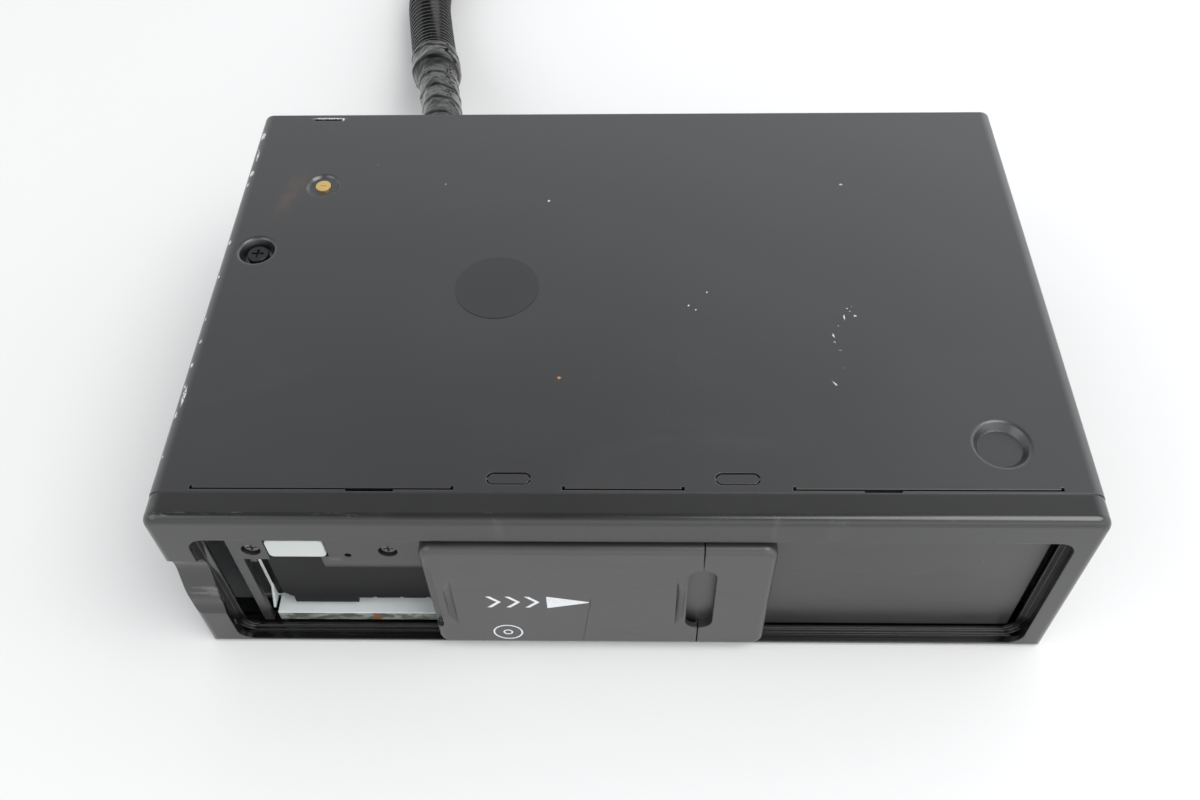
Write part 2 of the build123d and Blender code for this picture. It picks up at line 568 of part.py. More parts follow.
# ================================================================ elevator: side plates, cams, drive
PIN_X = (50.0, 92.0)
PIN_Z = 16.0
GEAR_X, GEAR_Z = 75.0, 55.0
MOTOR_X, MOTOR_Z = GEAR_X + 13.8 * math.cos(math.radians(15)), GEAR_Z + 13.8 * math.sin(math.radians(15))


def side_plate_cuts(y_plane):
    """vertical slots of the deck pins, in a plate lying in XZ"""
    with BuildSketch(Plane.XZ.offset(y_plane)) as slots:
        for x in PIN_X:
            with Locations((x, PIN_Z + LIFT / 2)):
                SlotCenterToCenter(LIFT + 1.0, 3.12, rotation=90)
    extrude(slots.sketch, amount=4, both=True, mode=Mode.SUBTRACT)


with BuildPart() as side_plate_front:
    blk(30.0, 119.6, -63.0, -61.8, FLOOR_Z, 50.0)
    blk(64.0, 93.5, -63.0, -61.8, 50.0, 66.9)
    blk(30.0, 119.6, -66.0, -61.8, FLOOR_Z, FLOOR_Z + 1.0)
    side_plate_cuts(62.4)
    rod("Y", GEAR_X, GEAR_Z, 2.5 + RUN, -70, -60, Mode.SUBTRACT)
    rod("Y", MOTOR_X, MOTOR_Z, 2.2, -70, -60, Mode.SUBTRACT)
save(side_plate_front.part, "side_plate_front")

with BuildPart() as side_plate_rear:
    blk(30.0, 119.6, 61.8, 63.0, FLOOR_Z, 50.0)
    blk(30.0, 119.6, 61.8, 66.0, FLOOR_Z, FLOOR_Z + 1.0)
    # shelf holding the upper end of the flat cable
    blk(98.0, 114.0, 50.2, 61.8, 47.4, 48.4)
    blk(98.0, 114.0, 61.8, 63.0, 49.0, 50.0)
    side_plate_cuts(-62.4)
save(side_plate_rear.part, "side_plate_rear")

STUDS = ((68.0, 14.0), (78.0, 44.0))
with BuildPart() as cam_guide_studs:
    for x, z in STUDS:
        rod("Y", x, z, 1.5, -61.8, -58.7)
        rod("Y", x, z, 2.5, -59.1, -58.6)
        rod("Y", x, z, 1.5, 58.7, 61.8)
        rod("Y", x, z, 2.5, 58.6, 59.1)
save(cam_guide_studs.part, "cam_guide_studs")


def cam_plate(y_plane):
    """slider plate with two climbing slots and two level guide slots; y_plane is its forward face"""
    with BuildSketch(Plane.XZ.offset(y_plane)) as outline:
        with Locations(((43 + 112) / 2, (10.8 + 46.9) / 2)):
            Rectangle(69, 36.1)
        for x in PIN_X:
            with Locations((x + CAM_STROKE / 2, PIN_Z + LIFT / 2)):
                SlotCenterToCenter(math.hypot(CAM_STROKE, LIFT) + 1.0, 3.12, rotation=math.degrees(math.atan2(LIFT, CAM_STROKE)), mode=Mode.SUBTRACT)
        for x, z in STUDS:
            with Locations((x + CAM_STROKE / 2, z)):
                SlotCenterToCenter(CAM_STROKE + 1.0, 3.12, mode=Mode.SUBTRACT)
    extrude(outline.sketch, amount=-1.2)


RACK_PITCH_Z = GEAR_Z - 7.0
with BuildPart() as lift_cam_front:
    cam_plate(60.6)
    # rack along the top edge, pitch line 7 below the gear's axis
    n_teeth = 9
    for i in range(n_teeth):
        cx = GEAR_X + math.pi * (i - 2)
        half_p, half_t, half_r = math.pi / 4 - 0.11, math.pi / 4 - 0.11 - 0.8 * math.tan(math.radians(20)), math.pi / 4 - 0.11 + 1.2 * math.tan(math.radians(20))
        with BuildSketch(Plane.XZ.offset(60.6)):
            with BuildLine():
                Polyline((cx - half_r, RACK_PITCH_Z - 1.2), (cx - half_t, RACK_PITCH_Z + 0.8), (cx + half_t, RACK_PITCH_Z + 0.8), (cx + half_r, RACK_PITCH_Z - 1.2), (cx - half_r, RACK_PITCH_Z - 1.2))
            make_face()
        extrude(amount=-1.2)
save(lift_cam_front.part, "lift_cam_front")

with BuildPart() as lift_cam_rear:
    cam_plate(-59.4)
save(lift_cam_rear.part, "lift_cam_rear")

# the gear's tooth space faces the rack tooth straight below its axis
with BuildPart() as lift_gear:
    with BuildSketch(Plane((GEAR_X, -59.2, GEAR_Z), x_dir=(1, 0, 0), z_dir=(0, -1, 0))):
        with BuildLine():
            Polyline(*gear_points(14, 1.0, -math.pi / 2 + math.pi / 14), close=True)
        make_face()
    extrude(amount=2.0)
    rod("Y", GEAR_X, GEAR_Z, 2.5, -64.2, -61.1)
    with BuildSketch(Plane((GEAR_X, -63.6, GEAR_Z), x_dir=(1, 0, 0), z_dir=(0, -1, 0))):
        with BuildLine():
            Polyline(*gear_points(36, 0.6, math.radians(15), add=0.6), close=True)
        make_face()
    extrude(amount=2.0)
save(lift_gear.part, "lift_gear")

with BuildPart() as motor_pinion:
    with BuildSketch(Plane((MOTOR_X, -63.4, MOTOR_Z), x_dir=(1, 0, 0), z_dir=(0, -1, 0))):
        with BuildLine():
            Polyline(*gear_points(10, 0.6, math.radians(15 + 180 + 18), add=0.7), close=True)
        make_face()
    extrude(amount=2.4)
    rod("Y", MOTOR_X, MOTOR_Z, 0.75, -65.8, -45.0)
save(motor_pinion.part, "motor_pinion")

with BuildPart() as lift_motor:
    rod("Y", MOTOR_X, MOTOR_Z, 8.0, -58.9, -38.0)
    rod("Y", MOTOR_X, MOTOR_Z, 4.0, -61.8, -58.9)
    rod("Y", MOTOR_X, MOTOR_Z, 2.0, -62.9, -61.8)
    rod("Y", MOTOR_X, MOTOR_Z, 2.6, -38.0, -36.8)
    rod("Y", MOTOR_X, MOTOR_Z, 0.75 + RUN, -64.0, -44.5, Mode.SUBTRACT)
save(lift_motor.part, "lift_motor")

# ================================================================ elevator deck and what rides on it
DECK_Z0, DECK_Z1 = 9.0, 10.2
ROD_Z = 7.2
ROD_A_X, ROD_B_X, SCREW_X = 44.0, 73.0, 80.0
with BuildPart() as elevator_deck:
    blk(33.0, 115.0, -57.0, 57.0, DECK_Z0, DECK_Z1)
    blk(40.0, 108.0, -58.0, -57.0, DECK_Z0, 20.0)
    blk(40.0, 108.0, 57.0, 58.0, DECK_Z0, 20.0)
    # opening for the pickup and the sled motor, hole over the spindle motor
    blk(40.5, 84.0, -2.4, 54.4, 5, 12, Mode.SUBTRACT)
    blk(74.0, 86.0, -25.0, -2.0, 5, 12, Mode.SUBTRACT)
    rod("Z", SPX, SPY, 6.0, 5, 12, Mode.SUBTRACT)
    # brackets of the guide rods and of the screw's end
    for x in (ROD_A_X, ROD_B_X):
        blk(x - 2.3, x + 2.3, -4.2, -3.0, 4.5, DECK_Z0)
        blk(x - 2.3, x + 2.3, 54.6, 55.8, 4.5, DECK_Z0)
        rod("Y", x, ROD_Z, 1.5, -5, 57, Mode.SUBTRACT)
    blk(SCREW_X - 2.3, SCREW_X + 2.3, 54.6, 55.8, 4.5, DECK_Z0)
    rod("Y", SCREW_X, ROD_Z, 0.8 + RUN, 50, 57, Mode.SUBTRACT)
    # ears of the clamp arm
    for x0, x1 in ((47.6, 48.8), (65.2, 66.4)):
        blk(x0, x1, 54.6, 57.0, DECK_Z1 - 0.5, 25.0)
        blk(x0, x1, 48.0, 57.0, 19.0, 25.0)
    rod("X", 51.0, 22.0, 1.5, 45, 70, Mode.SUBTRACT)
    # hub of the tray lever
    rod("Z", 36.5, 35.0, 2.6, DECK_Z1, 11.8)
    rod("Z", 36.5, 35.0, 1.2, 8, 13, Mode.SUBTRACT)
    # holes of the lift pins
    for x in PIN_X:
        rod("Y", x, PIN_Z, 1.5, -60, -50, Mode.SUBTRACT)
        rod("Y", x, PIN_Z, 1.5, 50, 60, Mode.SUBTRACT)
    # lightening holes
    for y in (-40, 10, 40):
        rod("Z", 100.0, y, 7.0, 5, 12, Mode.SUBTRACT)
save(elevator_deck.part, "elevator_deck")

with BuildPart() as deck_lift_pins:
    for x in PIN_X:
        rod("Y", x, PIN_Z, 1.5, -63.6, -57.0)
        rod("Y", x, PIN_Z, 1.5, 57.0, 63.6)
save(deck_lift_pins.part, "deck_lift_pins")

with BuildPart() as spindle_motor:
    rod("Z", SPX, SPY, 12.5, 3.0, 8.4)
    rod("Z", SPX, SPY, 12.8, 8.4, DECK_Z0)
    rod("Z", SPX, SPY, 3.0, DECK_Z0, 10.6)
    rod("Z", SPX, SPY, 1.0 + RUN, 4.2, 12, Mode.SUBTRACT)
    # flat beside the sled motor
    blk(72.0, 80.0, -30, 5, 2, 10, Mode.SUBTRACT)
save(spindle_motor.part, "spindle_motor")

with BuildPart() as turntable:
    rod("Z", SPX, SPY, 13.0, 11.6, 13.6)
    rod("Z", SPX, SPY, 12.2, 13.6, 14.0)
    with Locations((SPX, SPY, 14.9)):
        Cone(7.3, 6.0, 1.8)
    rod("Z", SPX, SPY, 1.0, 4.6, 12.0)
    chamfer(turntable.edges().filter_by(GeomType.CIRCLE).group_by(Axis.Z)[-1], 0.4)
save(turntable.part, "turntable")

with BuildPart() as sled_guide_rods:
    for x in (ROD_A_X, ROD_B_X):
        rod("Y", x, ROD_Z, 1.5, -4.2, 55.8)
save(sled_guide_rods.part, "sled_guide_rods")

SLED_Y0, SLED_Y1 = -1.6, 19.4
with BuildPart() as pickup_sled:
    blk(47.0, 70.0, SLED_Y0, SLED_Y1, 3.2, 11.0)
    blk(41.2, 47.0, SLED_Y0 + 3, SLED_Y1 - 3, 4.6, 8.6)
    blk(70.0, 75.4, SLED_Y0 + 3, SLED_Y1 - 3, 4.6, 8.6)
    blk(75.4, 82.6, 5.0, 13.0, 4.4, 8.6)
    rod("Y", ROD_A_X, ROD_Z, 1.5 + RUN, -10, 30, Mode.SUBTRACT)
    rod("Y", ROD_B_X, ROD_Z, 1.5 + RUN, -10, 30, Mode.SUBTRACT)
    rod("Y", SCREW_X, ROD_Z, 1.4 + RUN, -10, 30, Mode.SUBTRACT)
    rod("Z", SPX, 9.0, 6.2, 9.0, 12, Mode.SUBTRACT)
    chamfer(pickup_sled.edges().filter_by(Axis.Z).group_by(SortBy.LENGTH)[-1], 1.5)
save(pickup_sled.part, "pickup_sled")

with BuildPart() as pickup_lens:
    rod("Z", SPX, 9.0, 5.2, 9.0, 11.2)
    rod("Z", SPX, 9.0, 3.0, 11.2, 12.0)
    with Locations((SPX, 9.0, 11.2)):
        Sphere(2.2)
save(pickup_lens.part, "pickup_lens")

with BuildPart() as sled_lead_screw:
    rod("Y", SCREW_X, ROD_Z, 1.4, -2.6, 54.2)
    rod("Y", SCREW_X, ROD_Z, 0.8, 54.2, 55.9)
    rod("Y", SCREW_X, ROD_Z, 0.8, -20.0, -2.6)
save(sled_lead_screw.part, "sled_lead_screw")

with BuildPart() as sled_motor:
    blk(74.6, 85.4, -24.0, -5.0, 2.9, 12.0)
    rod("Y", SCREW_X, ROD_Z, 2.4, -5.0, -3.6)
    rod("Y", SCREW_X, ROD_Z, 0.8 + RUN, -21, -3, Mode.SUBTRACT)
    fillet(sled_motor.edges().filter_by(Axis.Y).group_by(SortBy.LENGTH)[-1].group_by(Axis.Z)[-1], 1.5)
save(sled_motor.part, "sled_motor")

ARM_Y, ARM_Z = 51.0, 22.0
with BuildPart() as clamp_arm:
    blk(50.0, 64.0, -26.0, 49.0, 20.6, 22.0)
    rod("X", ARM_Y, ARM_Z, 2.8, 49.2, 64.8)
    blk(50.0, 51.2, -20.0, 51.0, 20.6, 24.4)
    blk(62.8, 64.0, -20.0, 51.0, 20.6, 24.4)
    rod("Z", SPX, SPY, 4.6, 18, 26, Mode.SUBTRACT)
    rod("X", ARM_Y, ARM_Z, 1.5 + RUN, 45, 70, Mode.SUBTRACT)
save(clamp_arm.part, "clamp_arm")

with BuildPart() as deck_pivot_pins:
    rod("X", ARM_Y, ARM_Z, 1.5, 46.4, 67.6)
    rod("Z", 36.5, 35.0, 1.2, 8.6, 13.9)
    rod("Z", 36.5, 35.0, 2.4, 13.6, 14.3)
save(deck_pivot_pins.part, "deck_pivot_pins")

with BuildPart() as clamp_spring:
    for i in range(3):
        with Locations(Location((68.2 + 0.9 * i, ARM_Y, ARM_Z), (0, 90, 0))):
            Torus(2.2, 0.32)
save(clamp_spring.part, "clamp_spring")

with BuildPart() as disc_clamper:
    rod("Z", SPX, SPY, 12.0, 17.2, 19.6)
    rod("Z", SPX, SPY, 4.0, 19.6, 22.6)
    rod("Z", SPX, SPY, 5.6, 22.4, 23.4)
    rod("Z", SPX, SPY, 7.8, 17.0, 18.3, Mode.SUBTRACT)
save(disc_clamper.part, "disc_clamper")

with BuildPart() as tray_pick_lever:
    blk(34.6, 38.4, -6.0, 35.0, 12.0, 13.4)
    rod("Z", 36.5, 35.0, 4.2, 12.0, 13.4)
    blk(32.6, 38.4, -6.0, -2.0, 12.0, 13.4)
    rod("Z", 36.5, 35.0, 1.2 + RUN, 10, 15, Mode.SUBTRACT)
save(tray_pick_lever.part, "tray_pick_lever")

# ================================================================ electronics
with BuildPart() as board_rails:
    for y in (-20.0, 60.0):
        blk(-126.4, 126.4, y, y + 6.0, 60.4, 61.6)
        for s in (-1, 1):
            x0, x1 = sorted((s * 125.4, s * 126.6))
            blk(x0, x1, y, y + 6.0, 50.0, 61.6)
    # pillars of the board
    for x in (-94.0, 34.0):
        rod("Z", x, -17.0, 2.2, 61.6, 63.0)
        rod("Z", x, 63.0, 2.2, 61.6, 63.0)
save(board_rails.part, "board_rails")

with BuildPart() as main_board:
    blk(-99.0, 40.0, -21.0, 68.0, 63.0, 64.6)
save(main_board.part, "main_board")

with BuildPart() as board_components:
    blk(-60.0, -40.0, -5.0, 15.0, 64.6, 66.6)
    blk(-20.0, -6.0, 10.0, 24.0, 64.6, 66.4)
    blk(2.0, 22.0, -10.0, 0.0, 64.6, 66.6)
    blk(-75.0, -50.0, 56.0, 64.0, 64.6, 68.6)
    blk(10.0, 34.0, 48.0, 58.0, 64.6, 68.0)
    for x, y in ((-85, 0), (-85, 14), (-5, 40), (-25, 45), (30, 15)):
        rod("Z", x, y, 3.2, 64.6, 68.8)
    for i in range(6):
        blk(-40 + 7 * i, -37 + 7 * i, 34.0, 36.0, 64.6, 65.6)
save(board_components.part, "board_components")

with BuildPart() as deck_flex_cable:
    blk(100.0, 112.0, 50.6, 50.9, DECK_Z1, 47.4)
save(deck_flex_cable.part, "deck_flex_cable")

# ================================================================ cable
with BuildPart() as cable_grommet:
    rod("Y", CORD_X, CORD_Z, 13.4, 83.8, 87.0)
    rod("Y", CORD_X, CORD_Z, 10.0, 82.8, 83.8)
    rod("Y", CORD_X, CORD_Z, 12.4, 80.2, 82.8)
    fillet(cable_grommet.edges().filter_by(GeomType.CIRCLE).group_by(Axis.Y)[-1], 1.0)
save(cable_grommet.part, "cable_grommet")


def arcs(points):
    """radius for each inner point: 0.45 of the shorter run over the tangent of half the turn"""
    out = []
    for a, b, c in zip(points, points[1:], points[2:]):
        va, vb = Vector(*b) - Vector(*a), Vector(*c) - Vector(*b)
        turn = math.radians(va.get_angle(vb))
        out.append(0.45 * min(va.length, vb.length) / math.tan(turn / 2))
    return out


# The bundle's route: straight out, sloping down to the surface while it drifts left, then a wide turn behind the box.
EXIT = (CORD_X, 87.0, CORD_Z)
P2, P3 = (-80.0, 163.0, 24.0), (-90.0, 214.0, 11.6)
JOIN = tuple(a + 0.42 * (b - a) for a, b in zip(P2, P3))
TAPE_ROUTE = [EXIT, (CORD_X, 118.0, CORD_Z), P2, JOIN]
LOOM_ROUTE = [JOIN, P3, (-98.0, 262.0, 10.4), (-84.9, 314.4, 10.3), (-47.0, 359.5, 10.3), (8.0, 384.9, 10.3), (68.0, 384.9, 10.3)]
WHOLE = TAPE_ROUTE[:3] + LOOM_ROUTE[1:]
RADII = arcs(WHOLE)
print("arc radii of the route:", [round(r, 1) for r in RADII])

with BuildPart() as tape_wrap:
    with BuildLine() as tape_path:
        FilletPolyline(*TAPE_ROUTE, radius=RADII[:2])
    with BuildSketch(Plane(origin=tape_path.line @ 0, z_dir=tape_path.line % 0)):
        Circle(TAPE_R)
    sweep(path=tape_path.line)
save(tape_wrap.part, "tape_wrap")
TAPE_LEN = sum(e.length for e in tape_path.edges())
print("tape length", round(TAPE_LEN, 1), "volume ratio", round(tape_wrap.part.volume / (math.pi * TAPE_R**2 * TAPE_LEN), 4))

with BuildPart() as cable_loom:
    with BuildLine() as loom_path:
        FilletPolyline(*LOOM_ROUTE, radius=RADII[2:])
    with BuildSketch(Plane(origin=loom_path.line @ 0, z_dir=loom_path.line % 0)):
        Circle(LOOM_R)
    sweep(path=loom_path.line)
save(cable_loom.part, "cable_loom")
LOOM_LEN = sum(e.length for e in loom_path.edges())
print("loom length", round(LOOM_LEN, 1), "volume ratio", round(cable_loom.part.volume / (math.pi * LOOM_R**2 * LOOM_LEN), 4))

# plug on the far end: shroud with two rows of cavities, latch on top
with BuildPart() as harness_connector:
    blk(68.0, 79.0, 373.4, 396.4, 0.3, 20.3)
    blk(79.0, 104.0, 371.4, 398.4, 0.3, 19.0)
    blk(84.0, 104.0, 380.0, 389.8, 19.0, 21.6)
    blk(84.0, 100.0, 382.0, 387.8, 19.0, 20.6, Mode.SUBTRACT)
    chamfer(harness_connector.edges().filter_by(Axis.X), 0.6)
    with Locations(Plane.YZ.offset(104)):
        with Locations((384.9, 6.2), (384.9, 13.0)):
            with GridLocations(5.6, 1, 4, 1):
                Box(3.6, 3.6, 14, mode=Mode.SUBTRACT)
save(harness_connector.part, "harness_connector")
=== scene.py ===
import bpy, bmesh, math, random
from mathutils import Matrix, Vector, noise as mnoise


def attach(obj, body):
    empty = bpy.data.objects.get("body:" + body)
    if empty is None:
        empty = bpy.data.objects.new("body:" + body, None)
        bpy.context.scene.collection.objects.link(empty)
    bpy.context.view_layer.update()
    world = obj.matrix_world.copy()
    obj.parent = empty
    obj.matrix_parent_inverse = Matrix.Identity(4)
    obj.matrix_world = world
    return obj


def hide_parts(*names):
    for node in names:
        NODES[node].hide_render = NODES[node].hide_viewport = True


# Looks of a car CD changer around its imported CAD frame. Metres, in the CAD's row frame.
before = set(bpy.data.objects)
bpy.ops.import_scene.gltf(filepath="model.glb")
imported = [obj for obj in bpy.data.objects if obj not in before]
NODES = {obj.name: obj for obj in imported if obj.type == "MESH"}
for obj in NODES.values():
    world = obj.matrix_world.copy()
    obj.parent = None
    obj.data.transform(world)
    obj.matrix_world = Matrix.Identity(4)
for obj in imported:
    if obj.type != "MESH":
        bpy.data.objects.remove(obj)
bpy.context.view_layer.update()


scene = bpy.context.scene
MM = 0.001

# ---------------------------------------------------------------- camera
cam_data = bpy.data.cameras.new("camera")
cam_data.sensor_fit = "HORIZONTAL"
cam_data.sensor_width = 36.0
cam_data.lens = 34.24
cam_data.shift_x = -0.001
cam_data.shift_y = 0.0009
cam_data.clip_start = 0.01
cam_data.clip_end = 60.0
cam = bpy.data.objects.new("camera", cam_data)
scene.collection.objects.link(cam)
right = Vector((0.99969936, 0.01609063, -0.01850076)).normalized()
up = Vector((-0.00118245, 0.78530532, 0.61910755)).normalized()
back = right.cross(up).normalized()
up = back.cross(right).normalized()
cam.matrix_world = Matrix((
    (right.x, up.x, back.x, 0.0018188),
    (right.y, up.y, back.y, -0.2456954),
    (right.z, up.z, back.z, 0.3259141),
    (0, 0, 0, 1)))
scene.camera = cam
scene.view_settings.view_transform = "Standard"


# ---------------------------------------------------------------- mesh helpers
def link(name, mesh, body, material, smooth=True):
    ob = bpy.data.objects.new(name, mesh)
    scene.collection.objects.link(ob)
    if material is not None:
        mesh.materials.clear()
        mesh.materials.append(material)
    if smooth:
        for p in mesh.polygons:
            p.use_smooth = True
    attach(ob, body)
    return ob


def mesh_from(name, verts, faces):
    me = bpy.data.meshes.new(name)
    me.from_pydata([tuple(v) for v in verts], [], faces)
    me.update()
    return me


def keep_edges(ob, degrees=32):
    """smooth shading that stays crisp at real edges"""
    bpy.context.view_layer.update()
    me = ob.data
    me.set_sharp_from_angle(angle=math.radians(degrees))


# ---------------------------------------------------------------- material helpers
class Mat:
    """one procedural material; sockets are passed about as outputs"""

    def __init__(self, name):
        self.m = bpy.data.materials.new(name)
        self.m.use_nodes = True
        self.t = self.m.node_tree
        self.t.nodes.clear()
        self.out = self.t.nodes.new("ShaderNodeOutputMaterial")
        self.b = self.t.nodes.new("ShaderNodeBsdfPrincipled")
        self.t.links.new(self.b.outputs[0], self.out.inputs[0])
        tc = self.t.nodes.new("ShaderNodeTexCoord")
        self.co = tc.outputs["Object"]

    def put(self, socket, value):
        if isinstance(value, bpy.types.NodeSocket):
            self.t.links.new(value, socket)
        elif isinstance(value, (tuple, list)) and len(value) == 3 and socket.type == "RGBA":
            socket.default_value = (*value, 1)
        else:
            socket.default_value = value

    def set(self, **kw):
        names = {"color": "Base Color", "rough": "Roughness", "metal": "Metallic", "normal": "Normal", "spec": "Specular IOR Level",
                 "ior": "IOR", "coat": "Coat Weight", "coat_rough": "Coat Roughness", "alpha": "Alpha", "trans": "Transmission Weight",
                 "sheen": "Sheen Weight", "sss": "Subsurface Weight"}
        for k, v in kw.items():
            self.put(self.b.inputs[names[k]], v)
        return self

    def math(self, op, a, b=0.0, c=0.0, clamp=False):
        n = self.t.nodes.new("ShaderNodeMath")
        n.operation = op
        n.use_clamp = clamp
        for i, v in enumerate((a, b, c)):
            self.put(n.inputs[i], v)
        return n.outputs[0]

    def vmath(self, op, a, b=(0, 0, 0)):
        n = self.t.nodes.new("ShaderNodeVectorMath")
        n.operation = op
        self.put(n.inputs[0], a)
        if op == "SCALE":
            self.put(n.inputs["Scale"], b)
        else:
            self.put(n.inputs[1], b)
        return n.outputs["Value"] if op in ("LENGTH", "DISTANCE", "DOT_PRODUCT") else n.outputs["Vector"]

    def noise(self, scale, detail=3.0, rough=0.5, vec=None, distort=0.0):
        n = self.t.nodes.new("ShaderNodeTexNoise")
        self.put(n.inputs["Vector"], vec or self.co)
        n.inputs["Scale"].default_value = scale
        n.inputs["Detail"].default_value = detail
        n.inputs["Roughness"].default_value = rough
        n.inputs["Distortion"].default_value = distort
        return n.outputs["Fac"]

    def noise_v(self, scale, detail=2.0):
        n = self.t.nodes.new("ShaderNodeTexNoise")
        self.put(n.inputs["Vector"], self.co)
        n.inputs["Scale"].default_value = scale
        n.inputs["Detail"].default_value = detail
        return n.outputs["Color"]

    def voronoi(self, scale, vec=None, feature="F1"):
        n = self.t.nodes.new("ShaderNodeTexVoronoi")
        n.feature = feature
        self.put(n.inputs["Vector"], vec or self.co)
        n.inputs["Scale"].default_value = scale
        return n.outputs["Distance"]

    def stretch(self, sx, sy, sz, vec=None):
        n = self.t.nodes.new("ShaderNodeMapping")
        self.put(n.inputs["Vector"], vec or self.co)
        n.inputs["Scale"].default_value = (sx, sy, sz)
        return n.outputs["Vector"]

    def range(self, v, a, b, c=0.0, d=1.0, smooth=True):
        n = self.t.nodes.new("ShaderNodeMapRange")
        n.interpolation_type = "SMOOTHSTEP" if smooth else "LINEAR"
        n.clamp = True if not smooth else n.clamp
        self.put(n.inputs["Value"], v)
        for i, x in zip(("From Min", "From Max", "To Min", "To Max"), (a, b, c, d)):
            n.inputs[i].default_value = x
        return n.outputs["Result"]

    def mix(self, fac, a, b):
        n = self.t.nodes.new("ShaderNodeMix")
        n.data_type = "RGBA"
        self.put(n.inputs["Factor"], fac)
        self.put(n.inputs[6], a if isinstance(a, bpy.types.NodeSocket) else (*a, 1))
        self.put(n.inputs[7], b if isinstance(b, bpy.types.NodeSocket) else (*b, 1))
        return n.outputs[2]

    def axis(self, i, vec=None):
        n = self.t.nodes.new("ShaderNodeSeparateXYZ")
        self.put(n.inputs[0], vec or self.co)
        return n.outputs[i]

    def bump(self, height, strength=0.2, distance=0.0002, normal=None):
        n = self.t.nodes.new("ShaderNodeBump")
        n.inputs["Strength"].default_value = strength
        n.inputs["Distance"].default_value = distance
        self.put(n.inputs["Height"], height)
        if normal is not None:
            self.put(n.inputs["Normal"], normal)
        return n.outputs[0]

    def bevel(self, radius):
        n = self.t.nodes.new("ShaderNodeBevel")
        n.samples = 4
        n.inputs["Radius"].default_value = radius
        return n.outputs[0]

    def blot(self, centre, half, turn=0.0, soft=0.35, wob=None):
        """soft-edged ellipse about a point on an XY surface: 1 inside, 0 outside; wob is a wobbled coordinate"""
        v = self.vmath("SUBTRACT", wob or self.co, (centre[0] * MM, centre[1] * MM, 0))
        if turn:
            n = self.t.nodes.new("ShaderNodeVectorRotate")
            n.rotation_type = "Z_AXIS"
            self.put(n.inputs["Vector"], v)
            n.inputs["Angle"].default_value = -math.radians(turn)
            v = n.outputs[0]
        v = self.vmath("MULTIPLY", v, (1 / (half[0] * MM), 1 / (half[1] * MM), 0))
        return self.range(self.vmath("LENGTH", v), 1.0 + soft, max(0.0, 1.0 - soft), 0.0, 1.0)

    def wobble(self, scale, amount):
        n = self.noise_v(scale, 3)
        return self.vmath("ADD", self.co, self.vmath("SCALE", self.vmath("SUBTRACT", n, (0.5, 0.5, 0.5)), amount))

    def most(self, items):
        out = items[0]
        for i in items[1:]:
            out = self.math("MAXIMUM", out, i)
        return out


